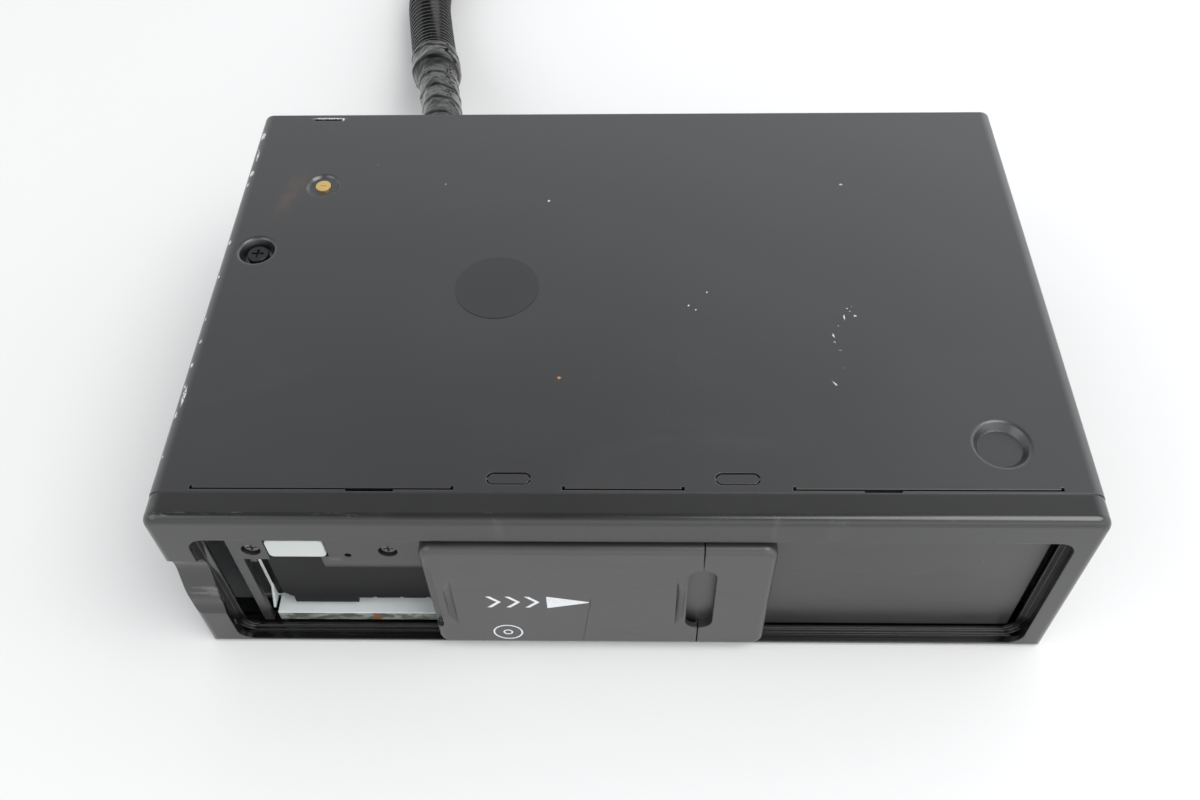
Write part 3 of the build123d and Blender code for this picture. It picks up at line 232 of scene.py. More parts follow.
def paint_material():
    k = Mat("cover_paint")
    base = (0.0062, 0.0063, 0.0072)
    cloud = k.noise(9.0, 4, 0.55)
    smear = k.noise(14.0, 5, 0.6, k.stretch(1.0, 3.2, 1.0), 0.6)
    fine = k.noise(900.0, 2, 0.6)
    grain = k.noise(2600.0, 1, 0.5)
    col = k.mix(k.range(cloud, 0.3, 0.7), base, (0.0085, 0.0086, 0.0096))
    col = k.mix(k.math("MULTIPLY", k.range(smear, 0.55, 0.8), 0.35), col, (0.014, 0.0137, 0.0133))
    top = k.range(k.axis(2), 0.0690, 0.0702)
    wob = k.wobble(420.0, 0.0016)
    fine_wob = k.wobble(1500.0, 0.0011)
    # bare metal and primer showing along the left rounded edge
    edge_spots = [((-127.0, 74.2), (0.9, 1.7)), ((-126.7, 63.3), (0.35, 2.6)), ((-126.9, 54.3), (0.8, 1.3)), ((-127.2, 48.7), (0.45, 0.9)), ((-127.3, 20.9), (0.5, 1.0)),
                  ((-126.6, -22.0), (0.4, 0.8)), ((-127.2, -30.9), (0.45, 0.8)), ((-127.3, -39.0), (0.4, 0.7)), ((-126.5, -43.0), (0.45, 3.4)), ((-127.6, -49.5), (0.5, 1.1)), ((-127.4, 5.5), (0.3, 0.6)), ((-127.5, -12.5), (0.3, 0.5)),
                  ((-127.4, 66.8), (0.25, 0.6)), ((-127.6, -64.0), (0.3, 0.5))]
    bright = [k.blot(c, h, 0, 0.3, fine_wob) for c, h in edge_spots]
    # chipped cluster and single specks on the top
    flecks = [((66.4, -12.6), (0.16, 1.0), -4), ((69.7, -12.0), (0.4, 0.24), -30), ((62.4, -19.9), (0.2, 0.75), 16), ((62.3, -22.4), (0.22, 0.3), 30),
              ((63.8, -25.6), (0.7, 0.07), -6), ((64.2, -32.4), (0.14, 0.14), 5), ((60.8, -38.2), (0.16, 0.95), 36),
              ((67.6, -9.0), (0.2, 0.16), 0), ((69.3, -8.2), (0.16, 0.16), 0), ((68.4, -10.1), (0.18, 0.14), 0), ((64.2, -16.0), (0.16, 0.16), 0),
              ((72.1, 47.1), (0.5, 0.35), 0), ((-24.8, 39.6), (0.35, 0.35), 0), ((19.9, -7.7), (0.35, 0.35), 0), ((25.6, -2.2), (0.5, 0.2), 35), ((22.0, -9.5), (0.25, 0.25), 0), ((-60.0, 48.0), (0.2, 0.2), 0), ((-84.0, 58.0), (0.25, 0.25), 0),
              ((-105.0, 83.15), (5.3, 0.33), 0), ((-99.9, 82.4), (0.32, 0.8), 0)]
    bright += [k.blot(c, h, t, 0.35, fine_wob) for c, h, t in flecks]
    wear = k.math("MULTIPLY", k.most(bright), top)
    # broken up, so that no fleck is an even shape
    wear = k.math("MULTIPLY", wear, k.range(k.noise(1900.0, 3, 0.7), 0.38, 0.50))
    # a light dusting of specks near the front
    dust_spots = k.most([k.blot((61.0, -58.0), (6.0, 6.5), 0, 0.8, wob), k.blot((30.0, -20.0), (60.0, 30.0), 0, 0.8, wob)])
    specks = k.math("MULTIPLY", k.math("MULTIPLY", k.range(k.voronoi(620.0), 0.13, 0.06), k.range(k.noise(300.0, 2), 0.58, 0.66)), k.math("MULTIPLY", dust_spots, top))
    col = k.mix(k.math("MULTIPLY", specks, 0.55), col, (0.20, 0.20, 0.20))
    orange = k.math("MULTIPLY", k.blot((-18.5, -36.2), (0.5, 0.4), 0, 0.4, fine_wob), top)
    # dull rub marks and greasy smudges, a little lighter than the paint
    rubs = [k.blot((-43.4, -56.7), (5.2, 0.22), 22, 0.5, wob), k.blot((-41.5, -57.0), (1.2, 0.25), 60, 0.5, wob),
            k.blot((-64.5, -59.0), (1.0, 6.5), -14, 0.8, wob), k.blot((-14.0, -60.5), (4.2, 2.6), 25, 0.9, wob), k.blot((2.0, -61.0), (4.5, 2.8), -30, 0.9, wob),
            k.blot((17.0, -60.0), (7.0, 3.5), -52, 0.9, wob), k.blot((-30.0, -66.0), (9.0, 1.6), 4, 0.9, wob), k.blot((94.3, 17.0), (2.6, 2.2), 20, 0.9, wob),
            k.blot((110.0, 62.0), (1.5, 4.0), 10, 0.9, wob)]
    rub = k.math("MULTIPLY", k.math("MULTIPLY", k.most(rubs), top), k.range(k.noise(260.0, 4, 0.65), 0.35, 0.75))
    stain = k.math("MULTIPLY", k.math("MULTIPLY", k.blot((-111.2, 44.5), (2.6, 9.5), -14, 0.9, wob), top), k.range(k.noise(300.0, 4, 0.7), 0.25, 0.7))
    col = k.mix(k.math("MULTIPLY", rub, 0.55), col, (0.012, 0.012, 0.013))
    col = k.mix(k.math("MULTIPLY", stain, 0.9), col, (0.050, 0.026, 0.018))
    col = k.mix(orange, col, (0.55, 0.20, 0.05))
    col = k.mix(wear, col, (0.72, 0.73, 0.72))
    rough = k.math("ADD", k.range(cloud, 0.3, 0.7, 0.27, 0.34), k.math("MULTIPLY", k.range(smear, 0.5, 0.8), 0.06))
    rough = k.math("SUBTRACT", rough, k.math("MULTIPLY", rub, 0.08))
    rough = k.math("ADD", rough, k.math("MULTIPLY", wear, 0.1))
    h = k.math("ADD", k.math("MULTIPLY", fine, 0.6), k.math("MULTIPLY", grain, 0.4))
    h = k.math("SUBTRACT", h, k.math("MULTIPLY", wear, 1.5))
    n = k.bump(h, 0.22, 0.00005, k.bevel(0.0005))
    k.set(color=col, rough=rough, normal=n, spec=0.5, ior=1.92)
    return k.m


def plastic_material(name, base, light, rough=(0.33, 0.42), ior=1.5, grain=2200.0, bump=0.16, bevel=0.0004, scuffs=None, scratch=0.25, marks=None):
    k = Mat(name)
    cloud = k.noise(16.0, 4, 0.6)
    hand = k.noise(38.0, 6, 0.62, k.stretch(1.0, 1.0, 2.2), 0.8)
    col = k.mix(k.range(cloud, 0.32, 0.7), base, light)
    fine = k.noise(grain, 2, 0.55)
    lines = k.noise(55.0, 3, 0.7, k.stretch(1.0, 1.0, 22.0), 0.2)
    hair = k.math("MULTIPLY", k.range(lines, 0.66, 0.74), scratch)
    col = k.mix(hair, col, tuple(min(1.0, 2.0 * c + 0.01) for c in light))
    r = k.range(cloud, 0.3, 0.7, rough[0], rough[1])
    r = k.math("ADD", r, k.math("MULTIPLY", k.range(hand, 0.52, 0.74), 0.07))
    if scuffs is not None:
        mask = scuffs(k)
        col = k.mix(mask, col, (0.16, 0.16, 0.155))
        r = k.math("ADD", r, k.math("MULTIPLY", mask, 0.15))
    height = fine
    if marks is not None:
        # marks gives a dark and a pale mask: on the door the dark one is painted shade in a groove; on the fascia the
        # pale one holds scratches and a patch of painted light
        dark, pale = marks(k)
        col = k.mix(dark, col, (0.002, 0.002, 0.002))
        col = k.mix(pale, col, (0.13, 0.128, 0.125))
        r = k.math("ADD", r, k.math("MULTIPLY", dark, 0.35))
        height = k.math("SUBTRACT", fine, k.math("MULTIPLY", dark, 3.0))
    n = k.bump(height, bump, 0.00005, k.bevel(bevel))
    k.set(color=col, rough=r, normal=n, spec=0.5, ior=ior)
    return k.m


def bezel_scuffs(k):
    wob = k.wobble(700.0, 0.0016)
    x, y, z = k.axis(0), k.axis(1), k.axis(2)
    # a worn line along the top front edge, thick at the left, and small knocks
    edge = k.math("MULTIPLY", k.range(z, 0.0670, 0.0684), k.range(y, -0.0815, -0.0826))
    left = k.range(x, -0.058, -0.078)
    thin = k.math("MULTIPLY", k.range(y, -0.0822, -0.0828), k.range(y, -0.0840, -0.0834))
    streak = k.math("MULTIPLY", k.range(k.noise(330.0, 5, 0.75, k.stretch(0.22, 1, 1)), 0.50, 0.64), k.math("MULTIPLY", thin, left))
    faint = k.math("MULTIPLY", k.math("MULTIPLY", k.range(k.noise(420.0, 4, 0.7, k.stretch(0.5, 1, 1)), 0.60, 0.75), edge), 0.35)
    spots = k.most([k.blot((40.6, -84.6), (1.0, 1.6), 10, 0.6, wob), k.blot((57.0, -84.5), (2.6, 0.7), 0, 0.6, wob), k.blot((-33.0, -84.6), (1.2, 1.0), 0, 0.6, wob), k.blot((-126.0, -80.0), (1.2, 1.4), 0, 0.6, wob)])
    spots = k.math("MULTIPLY", spots, k.range(z, 0.060, 0.064))
    spots = k.math("MULTIPLY", spots, k.range(k.noise(900.0, 3, 0.7), 0.42, 0.62))
    return k.math("MULTIPLY", k.most([streak, k.math("MULTIPLY", faint, 0.6), k.math("MULTIPLY", spots, 0.25)]), 0.5)


def scratch_line(k, a, b, width, plane="XZ"):
    """a thin wandering line between two points of the row frame, mm"""
    u, v = k.axis(0), k.axis(2 if plane == "XZ" else 1)
    du, dv = (b[0] - a[0]) * MM, (b[1] - a[1]) * MM
    length = math.hypot(du, dv)
    du, dv = du / length, dv / length
    ru, rv = k.math("SUBTRACT", u, a[0] * MM), k.math("SUBTRACT", v, a[1] * MM)
    along = k.math("ADD", k.math("MULTIPLY", ru, du), k.math("MULTIPLY", rv, dv))
    off = k.math("SUBTRACT", k.math("MULTIPLY", ru, dv), k.math("MULTIPLY", rv, du))
    off = k.math("ADD", off, k.math("MULTIPLY", k.math("SUBTRACT", k.noise(160.0, 2), 0.5), 0.0006))
    mask = k.range(k.math("ABSOLUTE", off), width * MM, width * MM * 0.35)
    mask = k.math("MULTIPLY", mask, k.math("MULTIPLY", k.range(along, 0.0, 0.0012), k.range(along, length, length - 0.0012)))
    return k.math("MULTIPLY", mask, k.range(k.noise(700.0, 2), 0.25, 0.42))


def door_scratches_and_groove_shade(k):
    # painted shade: the dark line is a sunken groove whose shade is painted, near-black colour along it; the pale lines
    # are scratches
    dark = scratch_line(k, (-9.0, 33.2), (-12.2, 6.0), 0.17)
    pale = k.most([scratch_line(k, (-27.0, 47.0), (-25.6, 43.0), 0.10), scratch_line(k, (-20.0, 48.5), (-16.5, 45.0), 0.08), scratch_line(k, (-4.0, 50.0), (1.0, 47.5), 0.08),
                   scratch_line(k, (29.0, 22.0), (31.5, 27.5), 0.08), scratch_line(k, (-31.0, 22.0), (-28.4, 23.4), 0.08)])
    return dark, k.math("MULTIPLY", pale, 0.45)


def fascia_scratches_and_painted_light(k):
    pale = k.most([scratch_line(k, (82.6, 34.1), (92.2, 36.5), 0.12), scratch_line(k, (60.0, 22.0), (67.0, 20.6), 0.09), scratch_line(k, (101.0, 44.0), (103.0, 40.0), 0.09)])
    # painted light: the blot called rust here is a pale grey patch over the shaded corner at the eject button's lower
    # right, with no rust colour; its dark part is switched off
    rust = k.blot((-82.7, -79.3), (1.3, 3.0), 0, 0.8, k.wobble(500.0, 0.002))
    rust = k.math("MULTIPLY", rust, k.math("MULTIPLY", k.range(k.axis(2), 0.0402, 0.0410), k.range(k.axis(2), 0.0424, 0.0416)))
    return k.math("MULTIPLY", rust, 0.0), k.most([k.math("MULTIPLY", pale, 0.6), k.math("MULTIPLY", rust, 0.35)])


def metal_material(name, base, rough=(0.25, 0.42), dirt=0.5, rust=0.0, brush=(1, 1, 1), metallic=0.9, bevel=0.0002, scale=1.0):
    k = Mat(name)
    cloud = k.noise(45.0 * scale, 5, 0.65)
    streak = k.noise(260.0 * scale, 3, 0.6, k.stretch(*brush))
    spangle = k.voronoi(260.0 * scale)
    dark = tuple(c * 0.62 for c in base)
    col = k.mix(k.math("MULTIPLY", k.range(cloud, 0.42, 0.72), dirt), base, dark)
    col = k.mix(k.math("MULTIPLY", k.range(spangle, 0.2, 0.6), 0.18), col, tuple(min(1, c * 1.15) for c in base))
    met = metallic
    if rust > 0:
        wob = k.noise(520.0, 4, 0.7)
        mask = k.math("MULTIPLY", k.range(wob, 0.70, 0.80), rust)
        col = k.mix(mask, col, (0.20, 0.075, 0.030))
        met = k.math("SUBTRACT", metallic, k.math("MULTIPLY", mask, 0.8))
    r = k.math("ADD", k.range(cloud, 0.3, 0.7, rough[0], rough[1]), k.math("MULTIPLY", streak, 0.08))
    n = k.bump(streak, 0.12, 0.00006, k.bevel(bevel) if bevel else None)
    k.set(color=col, rough=r, metal=met, normal=n)
    return k.m


def print_material(name, tone):
    """screen-printed ink, a little uneven and worn"""
    k = Mat(name)
    worn = k.range(k.noise(1500.0, 3, 0.7), 0.30, 0.5)
    col = k.mix(worn, tuple(c * 0.78 for c in tone), tone)
    k.set(color=col, rough=k.range(k.noise(600.0, 2), 0.3, 0.7, 0.42, 0.58), normal=k.bump(k.noise(2500.0, 2), 0.1, 0.00003), spec=0.5)
    return k.m


def zinc_material():
    """zinc-plated sheet: dull, light, greener and spotted with rust on the folded lip"""
    k = Mat("zinc_plate")
    cloud = k.noise(38.0, 5, 0.65)
    streak = k.noise(240.0, 3, 0.6, k.stretch(1.0, 5.0, 1.0))
    lip = k.range(k.axis(1), -0.0778, -0.0784)
    col = k.mix(k.range(cloud, 0.4, 0.75), (0.92, 0.97, 0.97), (0.80, 0.85, 0.84))
    col = k.mix(k.math("MULTIPLY", k.range(streak, 0.5, 0.8), 0.25), col, (0.96, 0.99, 0.99))
    lip_col = k.mix(k.range(k.noise(190.0, 4, 0.7, k.stretch(1, 1, 2.2)), 0.42, 0.66), (0.090, 0.104, 0.088), (0.34, 0.37, 0.33))
    front = k.math("MULTIPLY", lip, k.range(k.axis(2), 0.0073, 0.0069))
    col = k.mix(front, col, lip_col)
    # rust: a few spots, thickest on the lip
    rust = k.range(k.noise(620.0, 3, 0.7), 0.69, 0.77)
    here = k.most([k.math("MULTIPLY", front, 0.9), k.range(k.noise(24.0, 2), 0.58, 0.72, 0.0, 0.45)])
    spot = k.blot((-76.9, -78.6), (1.1, 2.0), 0, 0.5)
    mask = k.most([k.math("MULTIPLY", rust, here), k.math("MULTIPLY", k.math("MULTIPLY", spot, front), 0.9)])
    col = k.mix(mask, col, (0.22, 0.085, 0.030))
    met = k.math("SUBTRACT", k.math("SUBTRACT", 0.12, k.math("MULTIPLY", front, 0.05)), k.math("MULTIPLY", mask, 0.07))
    r = k.math("ADD", k.range(cloud, 0.3, 0.7, 0.34, 0.48), k.math("MULTIPLY", mask, 0.2))
    n = k.bump(k.math("ADD", streak, k.math("MULTIPLY", rust, 0.6)), 0.10, 0.00006, k.bevel(0.0003))
    k.set(color=col, rough=r, metal=met, normal=n)
    return k.m


def rubber_material(name, base, gloss, dusty=0.35, ior=1.5):
    k = Mat(name)
    n1 = k.noise(120.0, 5, 0.6)
    dust = k.range(k.noise(60.0, 5, 0.7, None, 0.5), 0.55, 0.8)
    col = k.mix(k.math("MULTIPLY", dust, dusty), base, (0.050, 0.049, 0.044))
    k.set(color=col, rough=k.math("ADD", k.range(n1, 0.3, 0.7, gloss, gloss + 0.14), k.math("MULTIPLY", dust, 0.10)), normal=k.bump(k.noise(900.0, 3), 0.10, 0.0001), spec=0.5, ior=ior)
    return k.m


def board_material():
    k = Mat("solder_mask")
    tracks = k.voronoi(330.0, k.stretch(1, 1, 0.2), "DISTANCE_TO_EDGE")
    col = k.mix(k.range(tracks, 0.02, 0.09), (0.10, 0.30, 0.14), (0.02, 0.13, 0.05))
    col = k.mix(k.math("MULTIPLY", k.range(k.voronoi(520.0), 0.12, 0.08), 0.8), col, (0.62, 0.60, 0.52))
    k.set(color=col, rough=0.34, normal=k.bump(k.range(tracks, 0.0, 0.1), 0.2, 0.0001))
    return k.m


M = {}
M["paint"] = paint_material()
M["bezel"] = plastic_material("bezel_plastic", (0.0034, 0.0033, 0.0034), (0.0050, 0.0049, 0.0050), (0.17, 0.24), 1.76, 1900.0, 0.08, 0.0005, bezel_scuffs, 0.10)
M["door"] = plastic_material("door_plastic", (0.031, 0.0292, 0.0302), (0.037, 0.0350, 0.0360), (0.30, 0.38), 1.73, 2400.0, 0.14, 0.0004, None, 0.08, door_scratches_and_groove_shade)
M["fascia"] = plastic_material("fascia_plastic", (0.0165, 0.0158, 0.0160), (0.0215, 0.0208, 0.0211), (0.28, 0.38), 1.72, 1500.0, 0.2, 0.0003, None, 0.25, fascia_scratches_and_painted_light)
M["inner"] = plastic_material("inner_plastic", (0.0050, 0.0052, 0.0056), (0.0080, 0.0081, 0.0086), (0.34, 0.46), 1.29, 1500.0, 0.15, 0.0003, None, 0.12)
M["white"] = plastic_material("button_plastic", (0.52, 0.56, 0.54), (0.57, 0.60, 0.58), (0.35, 0.45), 1.5, 1800.0, 0.08, 0.0004, None, 0.1)
M["zinc"] = zinc_material()
M["inner_steel"] = metal_material("inner_steel", (0.60, 0.62, 0.62), (0.30, 0.42), 0.4, 0.25, (1, 5, 1))
M["bright"] = metal_material("bright_steel", (0.66, 0.66, 0.66), (0.16, 0.28), 0.25, 0.0, (1, 1, 6))
M["screw"] = metal_material("blackened_screw", (0.20, 0.20, 0.205), (0.28, 0.42), 0.4, 0.15, (1, 1, 1), 0.85)
M["screw_black"] = metal_material("dark_screw", (0.035, 0.036, 0.038), (0.22, 0.34), 0.3, 0.1, (1, 1, 1), 0.7)
M["brass"] = metal_material("worn_brass", (0.80, 0.56, 0.24), (0.26, 0.42), 0.45, 0.0, (3, 1, 1))
M["rubber"] = rubber_material("soft_rubber", (0.010, 0.010, 0.010), 0.50, 0.35, 1.5)
M["loom"] = rubber_material("loom_plastic", (0.0024, 0.0026, 0.0022), 0.10, 0.04, 1.36)
M["tape"] = rubber_material("vinyl_tape", (0.0022, 0.0022, 0.0020), 0.06, 0.03, 1.36)
M["connector"] = plastic_material("connector_plastic", (0.075, 0.075, 0.08), (0.09, 0.09, 0.095), (0.45, 0.55), 1.5, 1500.0, 0.15, 0.0003)
M["board"] = board_material()
M["parts"] = plastic_material("component_black", (0.018, 0.018, 0.019), (0.03, 0.03, 0.03), (0.35, 0.5), 1.5, 1500.0, 0.12, 0.0002)
M["natural"] = plastic_material("gear_plastic", (0.74, 0.72, 0.64), (0.80, 0.78, 0.70), (0.35, 0.45), 1.5, 1800.0, 0.08, 0.0002)
M["label"] = plastic_material("label_vinyl", (0.0052, 0.0052, 0.0060), (0.0070, 0.0070, 0.0078), (0.36, 0.42), 1.78, 1300.0, 0.10, 0.0001, None, 0.04)
M["ink"] = print_material("white_ink", (0.74, 0.76, 0.78))
M["film"] = plastic_material("flex_film", (0.50, 0.30, 0.10), (0.56, 0.34, 0.12), (0.25, 0.35), 1.5, 1300.0, 0.05, 0.0001)
glass = Mat("lens_glass")
glass.set(color=glass.mix(glass.range(glass.noise(300.0), 0.3, 0.7), (0.35, 0.42, 0.75), (0.45, 0.5, 0.82)), rough=0.06, trans=0.6, ior=1.5, normal=glass.bump(glass.noise(800.0), 0.03, 0.00002))
M["glass"] = glass.m

BY_NODE = {
    "paint": ["top_cover"],
    "bezel": ["front_bezel"],
    "door": ["door_main", "door_tail"],
    "fascia": ["slot_panel"],
    "white": ["eject_button"],
    "inner": ["slot_flap", "magazine_guide_left", "magazine_guide_right", "magazine_ejector", "turntable", "pickup_sled", "disc_clamper"],
    "zinc": ["mechanism_chassis"],
    "inner_steel": ["bottom_chassis", "rear_panel", "board_rails", "bay_top_plate", "magazine_lock_lever", "side_plate_front", "side_plate_rear", "lift_cam_front", "lift_cam_rear", "elevator_deck", "clamp_arm"],
    "bright": ["side_mount_nuts", "flap_hinge_pin", "flap_spring", "eject_button_spring", "suspension_springs", "lock_lever_pin", "ejector_spring", "cam_guide_studs", "lift_motor", "deck_lift_pins", "spindle_motor", "sled_guide_rods", "sled_motor", "deck_pivot_pins", "clamp_spring", "sled_lead_screw"],
    "screw": ["slot_panel_screws", "housing_screws"], "screw_black": ["transport_screw"],
    "brass": ["brass_insert", "motor_pinion"],
    "rubber": ["cable_grommet", "oil_dampers"],
    "loom": ["cable_loom"], "tape": ["tape_wrap"], "connector": ["harness_connector"],
    "board": ["main_board", "front_switch_board"], "parts": ["board_components", "eject_switch"],
    "natural": ["lift_gear", "tray_pick_lever"], "label": ["round_cover_label"], "film": ["deck_flex_cable"], "glass": ["pickup_lens"],
}
for key, names in BY_NODE.items():
    for name in names:
        ob = NODES[name]
        if not ob.material_slots:
            ob.data.materials.append(M[key])
        for s in ob.material_slots:
            s.material = M[key]

# ---------------------------------------------------------------- printed marks on the wide leaf
FACE_Y = -87.0


def print_strip(name, outline, holes=(), body="door_main", material="ink"):
    """flat ink on the door's face: outline and holes in X, Z (mm), 0.03 mm proud"""
    bm = bmesh.new()
    loops = []
    for pts in (outline,) + tuple(holes):
        vs = [bm.verts.new((x * MM, FACE_Y * MM - 0.00003, z * MM)) for x, z in pts]
        loops.append([bm.edges.new((a, b)) for a, b in zip(vs, vs[1:] + vs[:1])])
    bmesh.ops.triangle_fill(bm, edges=[e for lp in loops for e in lp], use_beauty=True, use_dissolve=False)
    bmesh.ops.recalc_face_normals(bm, faces=bm.faces)
    flip = [f for f in bm.faces if f.normal.y > 0]
    bmesh.ops.reverse_faces(bm, faces=flip)
    ret = bmesh.ops.extrude_face_region(bm, geom=list(bm.faces))
    for v in [g for g in ret["geom"] if isinstance(g, bmesh.types.BMVert)]:
        v.co.y += 0.00006
    bmesh.ops.recalc_face_normals(bm, faces=bm.faces)
    me = bpy.data.meshes.new(name)
    bm.to_mesh(me)
    bm.free()
    return link(name, me, body, M[material], smooth=False)


def ring(cx, cz, r, n=40):
    return [(cx + r * math.cos(2 * math.pi * i / n), cz + r * math.sin(2 * math.pi * i / n)) for i in range(n)]


print_strip("arrow_print", [(-22.0, 26.9), (-22.0, 33.7), (-9.8, 30.6), (-9.8, 30.2)])
for i in range(3):
    x = -39.6 + 5.6 * i
    print_strip("chevron_print_%d" % (i + 1), [(x, 27.2), (x + 1.3, 27.2), (x + 4.3, 30.4), (x + 1.3, 33.6), (x, 33.6), (x + 3.0, 30.4)])
print_strip("disc_print", ring(-34.7, 11.6, 4.5), [list(reversed(ring(-34.7, 11.6, 4.0)))])
print_strip("disc_hole_print", ring(-34.7, 11.6, 1.5, 24), [list(reversed(ring(-34.7, 11.6, 1.0, 24)))])

# ---------------------------------------------------------------- cord
ROUTE = [(-72, 87, 33), (-72, 118, 33), (-80, 163, 24), (-90, 214, 11.6), (-98, 262, 10.4), (-84.9, 314.4, 10.3), (-47, 359.5, 10.3), (8, 384.9, 10.3), (68, 384.9, 10.3)]
curve = bpy.data.curves.new("route", "CURVE")
curve.dimensions = "3D"
curve.resolution_u = 48
sp = curve.splines.new("NURBS")
sp.points.add(len(ROUTE) - 1)
for p, c in zip(sp.points, ROUTE):
    p.co = (c[0] * MM, c[1] * MM, c[2] * MM, 1)
sp.order_u = 3
sp.use_endpoint_u = True
route_ob = bpy.data.objects.new("route", curve)
scene.collection.objects.link(route_ob)
bpy.context.view_layer.update()
line_mesh = bpy.data.meshes.new_from_object(route_ob)
line = [v.co.copy() for v in line_mesh.vertices]
bpy.data.objects.remove(route_ob)
bpy.data.curves.remove(curve)
bpy.data.meshes.remove(line_mesh)
if (line[0] - Vector(ROUTE[0]) * MM).length > (line[-1] - Vector(ROUTE[0]) * MM).length:
    line.reverse()
arc = [0.0]
for a, b in zip(line, line[1:]):
    arc.append(arc[-1] + (b - a).length)
TOTAL = arc[-1]


def at(s):
    """point and direction on the route at arc length s"""
    s = min(max(s, 0.0), TOTAL)
    lo, hi = 0, len(arc) - 1
    while hi - lo > 1:
        mid = (lo + hi) // 2
        if arc[mid] <= s:
            lo = mid
        else:
            hi = mid
    t = (s - arc[lo]) / max(1e-9, arc[hi] - arc[lo])
    p = line[lo].lerp(line[hi], t)
    i0, i1 = max(0, lo - 2), min(len(line) - 1, hi + 2)
    return p, (line[i1] - line[i0]).normalized()


def tube(name, stations, radius, seg=48, cap=(False, False), offset=None):
    """stations: arc lengths; radius(s, angle) in metres; a frame carried along the line"""
    verts, faces = [], []
    side = Vector((1, 0, 0))
    for s in stations:
        p, d = at(s)
        side = (side - d * side.dot(d)).normalized()
        other = d.cross(side)
        for j in range(seg):
            a = 2 * math.pi * j / seg
            r = radius(s, a)
            verts.append(p + (side * math.cos(a) + other * math.sin(a)) * r)
    n = len(stations)
    for i in range(n - 1):
        for j in range(seg):
            k = (j + 1) % seg
            faces.append((i * seg + j, i * seg + k, (i + 1) * seg + k, (i + 1) * seg + j))
    if cap[0]:
        faces.append(tuple(reversed(range(seg))))
    if cap[1]:
        faces.append(tuple((n - 1) * seg + j for j in range(seg)))
    return mesh_from(name, verts, faces)


JOIN_S = 0.1000
PITCH = 0.0034
LOOM_FULL, LOOM_LOW = 0.0100, 0.0087


def loom_radius(s, a):
    if s < JOIN_S - 0.002:
        return 0.0072
    if s < JOIN_S:
        return 0.0072 + (LOOM_LOW - 0.0072) * (s - JOIN_S + 0.002) / 0.002
    ph = ((s - JOIN_S) / PITCH) % 1.0
    ring = 0.5 - 0.5 * math.cos(2 * math.pi * ph)
    ring = min(1.0, max(0.0, (ring - 0.28) / 0.44))
    ring = ring * ring * (3 - 2 * ring)
    return LOOM_LOW + (LOOM_FULL - LOOM_LOW) * ring


stations = [i * 0.004 for i in range(25)]
s = JOIN_S - 0.002
while s < TOTAL:
    stations.append(s)
    s += PITCH / 9
stations.append(TOTAL)
loom = link("loom_tube", tube("loom_tube", stations, loom_radius, 48, (True, True)), "housing", M["loom"])
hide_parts("cable_loom")

# the slit of the split loom, a dark overlapping seam with its edge a little raised
strip = []
sfaces = []
st = [JOIN_S + 0.004 + i * PITCH / 9 for i in range(int((TOTAL - JOIN_S - 0.006) / (PITCH / 9)))]
side = Vector((1, 0, 0))
SEAM_A = math.radians(128)
for i, s in enumerate(st):
    p, d = at(s)
    side = (side - d * side.dot(d)).normalized()
    other = d.cross(side)
    for da, dr in ((-0.055, -0.0001), (-0.03, 0.00028), (0.02, 0.0003), (0.05, -0.0001)):
        a = SEAM_A + da + 0.02 * math.sin(s * 260)
        strip.append(p + (side * math.cos(a) + other * math.sin(a)) * (min(loom_radius(s, a), LOOM_FULL - 0.0003) + dr))
    if i:
        for j in range(3):
            b = (i - 1) * 4 + j
            sfaces.append((b, b + 1, b + 5, b + 4))
seam = link("loom_slit", mesh_from("loom_slit", strip, sfaces), "housing", M["rubber"])
solid = seam.modifiers.new("solid", "SOLIDIFY")
solid.thickness = 0.00015
solid.offset = -1


# glossy tape, wound in overlapping turns, with wrinkles and a bulge over the loom's end
def tape_radius(s, a):
    turn = (s / 0.0125 + a / (2 * math.pi)) % 1.0
    lap = 0.00042 * (1.0 - turn) if turn > 0.06 else 0.00042 * (turn / 0.06)
    p = Vector((math.cos(a) * 0.0085, math.sin(a) * 0.0085, s))
    wr = mnoise.noise(Vector((p.x * 210, p.y * 210, p.z * 95 + 3.0))) * 0.00055
    wr += mnoise.noise(Vector((p.x * 520, p.y * 520, p.z * 420))) * 0.00022
    swell = 0.0
    if s > JOIN_S - 0.016:
        t = min(1.0, (s - (JOIN_S - 0.016)) / 0.012)
        swell = 0.00225 * t * t * (3 - 2 * t)
    waist = -0.0004 * math.exp(-((s - 0.062) / 0.012) ** 2)
    root = 0.0009 * math.exp(-((s - 0.0) / 0.010) ** 2)
    return 0.0083 + lap + wr + swell + waist + root


TAPE_END = JOIN_S + 0.0075
tst = [i * 0.0006 for i in range(int(TAPE_END / 0.0006))] + [TAPE_END]
tape = link("tape_winding", tube("tape_winding", tst, tape_radius, 96, (False, False)), "housing", M["tape"])
sol = tape.modifiers.new("solid", "SOLIDIFY")
sol.thickness = 0.0005
sol.offset = -1
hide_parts("tape_wrap")

# ---------------------------------------------------------------- floor and lights
floor_mesh = mesh_from("floor", [(-6, -4, 0), (6, -4, 0), (6, 8, 0), (-6, 8, 0)], [(0, 1, 2, 3)])
floor = bpy.data.objects.new("floor", floor_mesh)
scene.collection.objects.link(floor)
kf = Mat("floor_paper")
paper = kf.mix(kf.range(kf.noise(3.0, 3), 0.3, 0.7), (0.885, 0.885, 0.885), (0.900, 0.900, 0.898))
# painted shade: the floor is coloured darker towards the left (x below 0.05 m), where the light from the right falls
# off
paper = kf.mix(kf.range(kf.axis(0), 0.05, -0.28), paper, (0.835, 0.832, 0.826))
kf.set(color=paper, rough=0.8, spec=0.2,
       normal=kf.bump(kf.noise(500.0, 2), 0.05, 0.0001))
floor_mesh.materials.append(kf.m)
floor.location.z = -0.0002

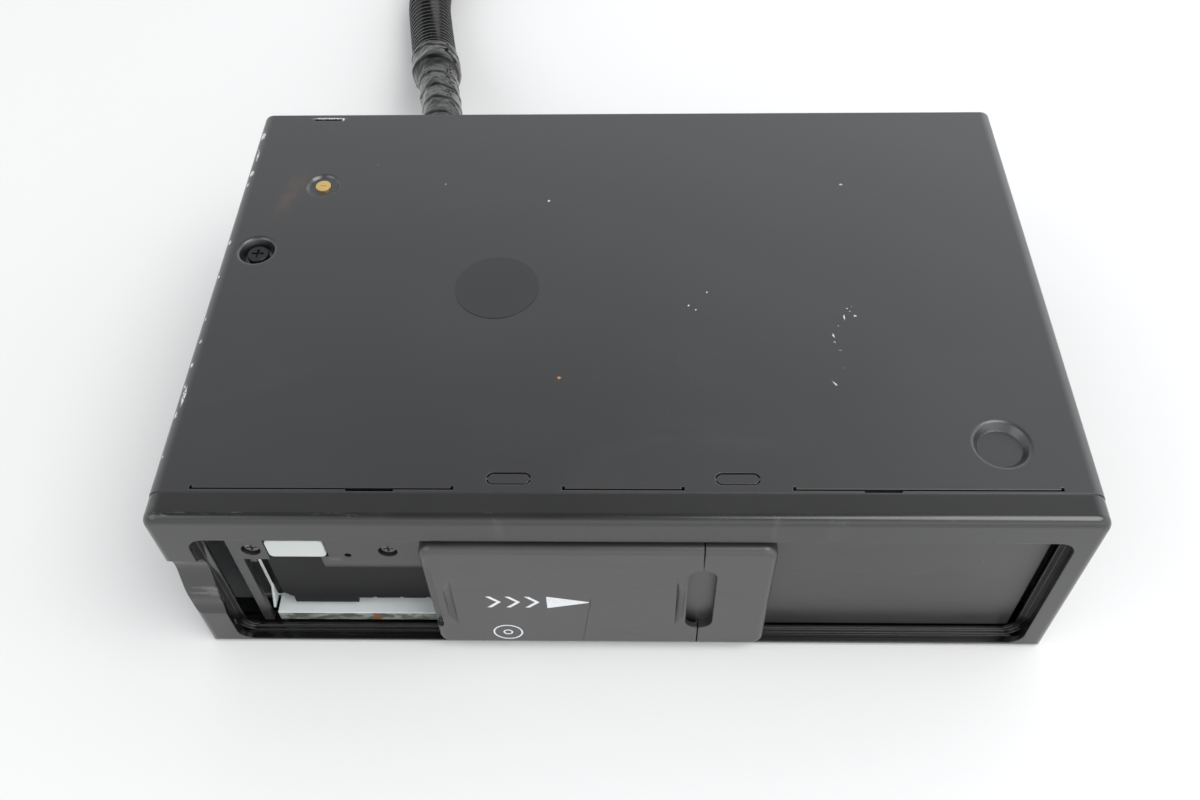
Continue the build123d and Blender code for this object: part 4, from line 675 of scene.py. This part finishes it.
world = bpy.data.worlds.new("studio")
scene.world = world
world.use_nodes = True
wt = world.node_tree
wt.nodes.clear()
wo = wt.nodes.new("ShaderNodeOutputWorld")
bg = wt.nodes.new("ShaderNodeBackground")
tc = wt.nodes.new("ShaderNodeTexCoord")
sep = wt.nodes.new("ShaderNodeSeparateXYZ")
wt.links.new(tc.outputs["Generated"], sep.inputs[0])


def wrange(v, a, b, c, d, mode="SMOOTHSTEP"):
    n = wt.nodes.new("ShaderNodeMapRange")
    n.interpolation_type = mode
    wt.links.new(v, n.inputs["Value"])
    for i, x in zip(("From Min", "From Max", "To Min", "To Max"), (a, b, c, d)):
        n.inputs[i].default_value = x
    return n.outputs["Result"]


def wmath(op, a, b):
    n = wt.nodes.new("ShaderNodeMath")
    n.operation = op
    for i, v in enumerate((a, b)):
        if isinstance(v, bpy.types.NodeSocket):
            wt.links.new(v, n.inputs[i])
        else:
            n.inputs[i].default_value = v
    return n.outputs[0]


# dim overhead and behind at mid height, brighter low down at the back and to the right, bright in front
low = wrange(sep.outputs[2], 0.94, 0.42, 0.34, 1.24, "LINEAR")
side_x = wrange(sep.outputs[0], -0.6, 0.6, 0.76, 1.24)
front = wrange(sep.outputs[1], -0.2, -0.9, 1.0, 1.1)
strength = wmath("MULTIPLY", wmath("MULTIPLY", low, side_x), front)
wt.links.new(strength, bg.inputs["Strength"])
bg.inputs["Color"].default_value = (0.965, 0.98, 1.0, 1)
wt.links.new(bg.outputs[0], wo.inputs[0])


def area(name, loc, target, size, power, colour=(1, 1, 1)):
    d = bpy.data.lights.new(name, "AREA")
    d.shape = "RECTANGLE"
    d.size, d.size_y = size
    d.energy = power
    d.color = colour
    o = bpy.data.objects.new(name, d)
    scene.collection.objects.link(o)
    o.location = loc
    o.rotation_euler = (Vector(target) - Vector(loc)).to_track_quat("-Z", "Y").to_euler()
    return o


area("key", (0.85, -0.45, 1.7), (0.0, 0.0, 0.0), (1.3, 1.1), 17.2, (1.0, 0.99, 0.975))
area("fill", (-1.5, -0.9, 1.5), (0.0, 0.0, 0.0), (1.6, 1.4), 8.6, (0.97, 0.985, 1.0))
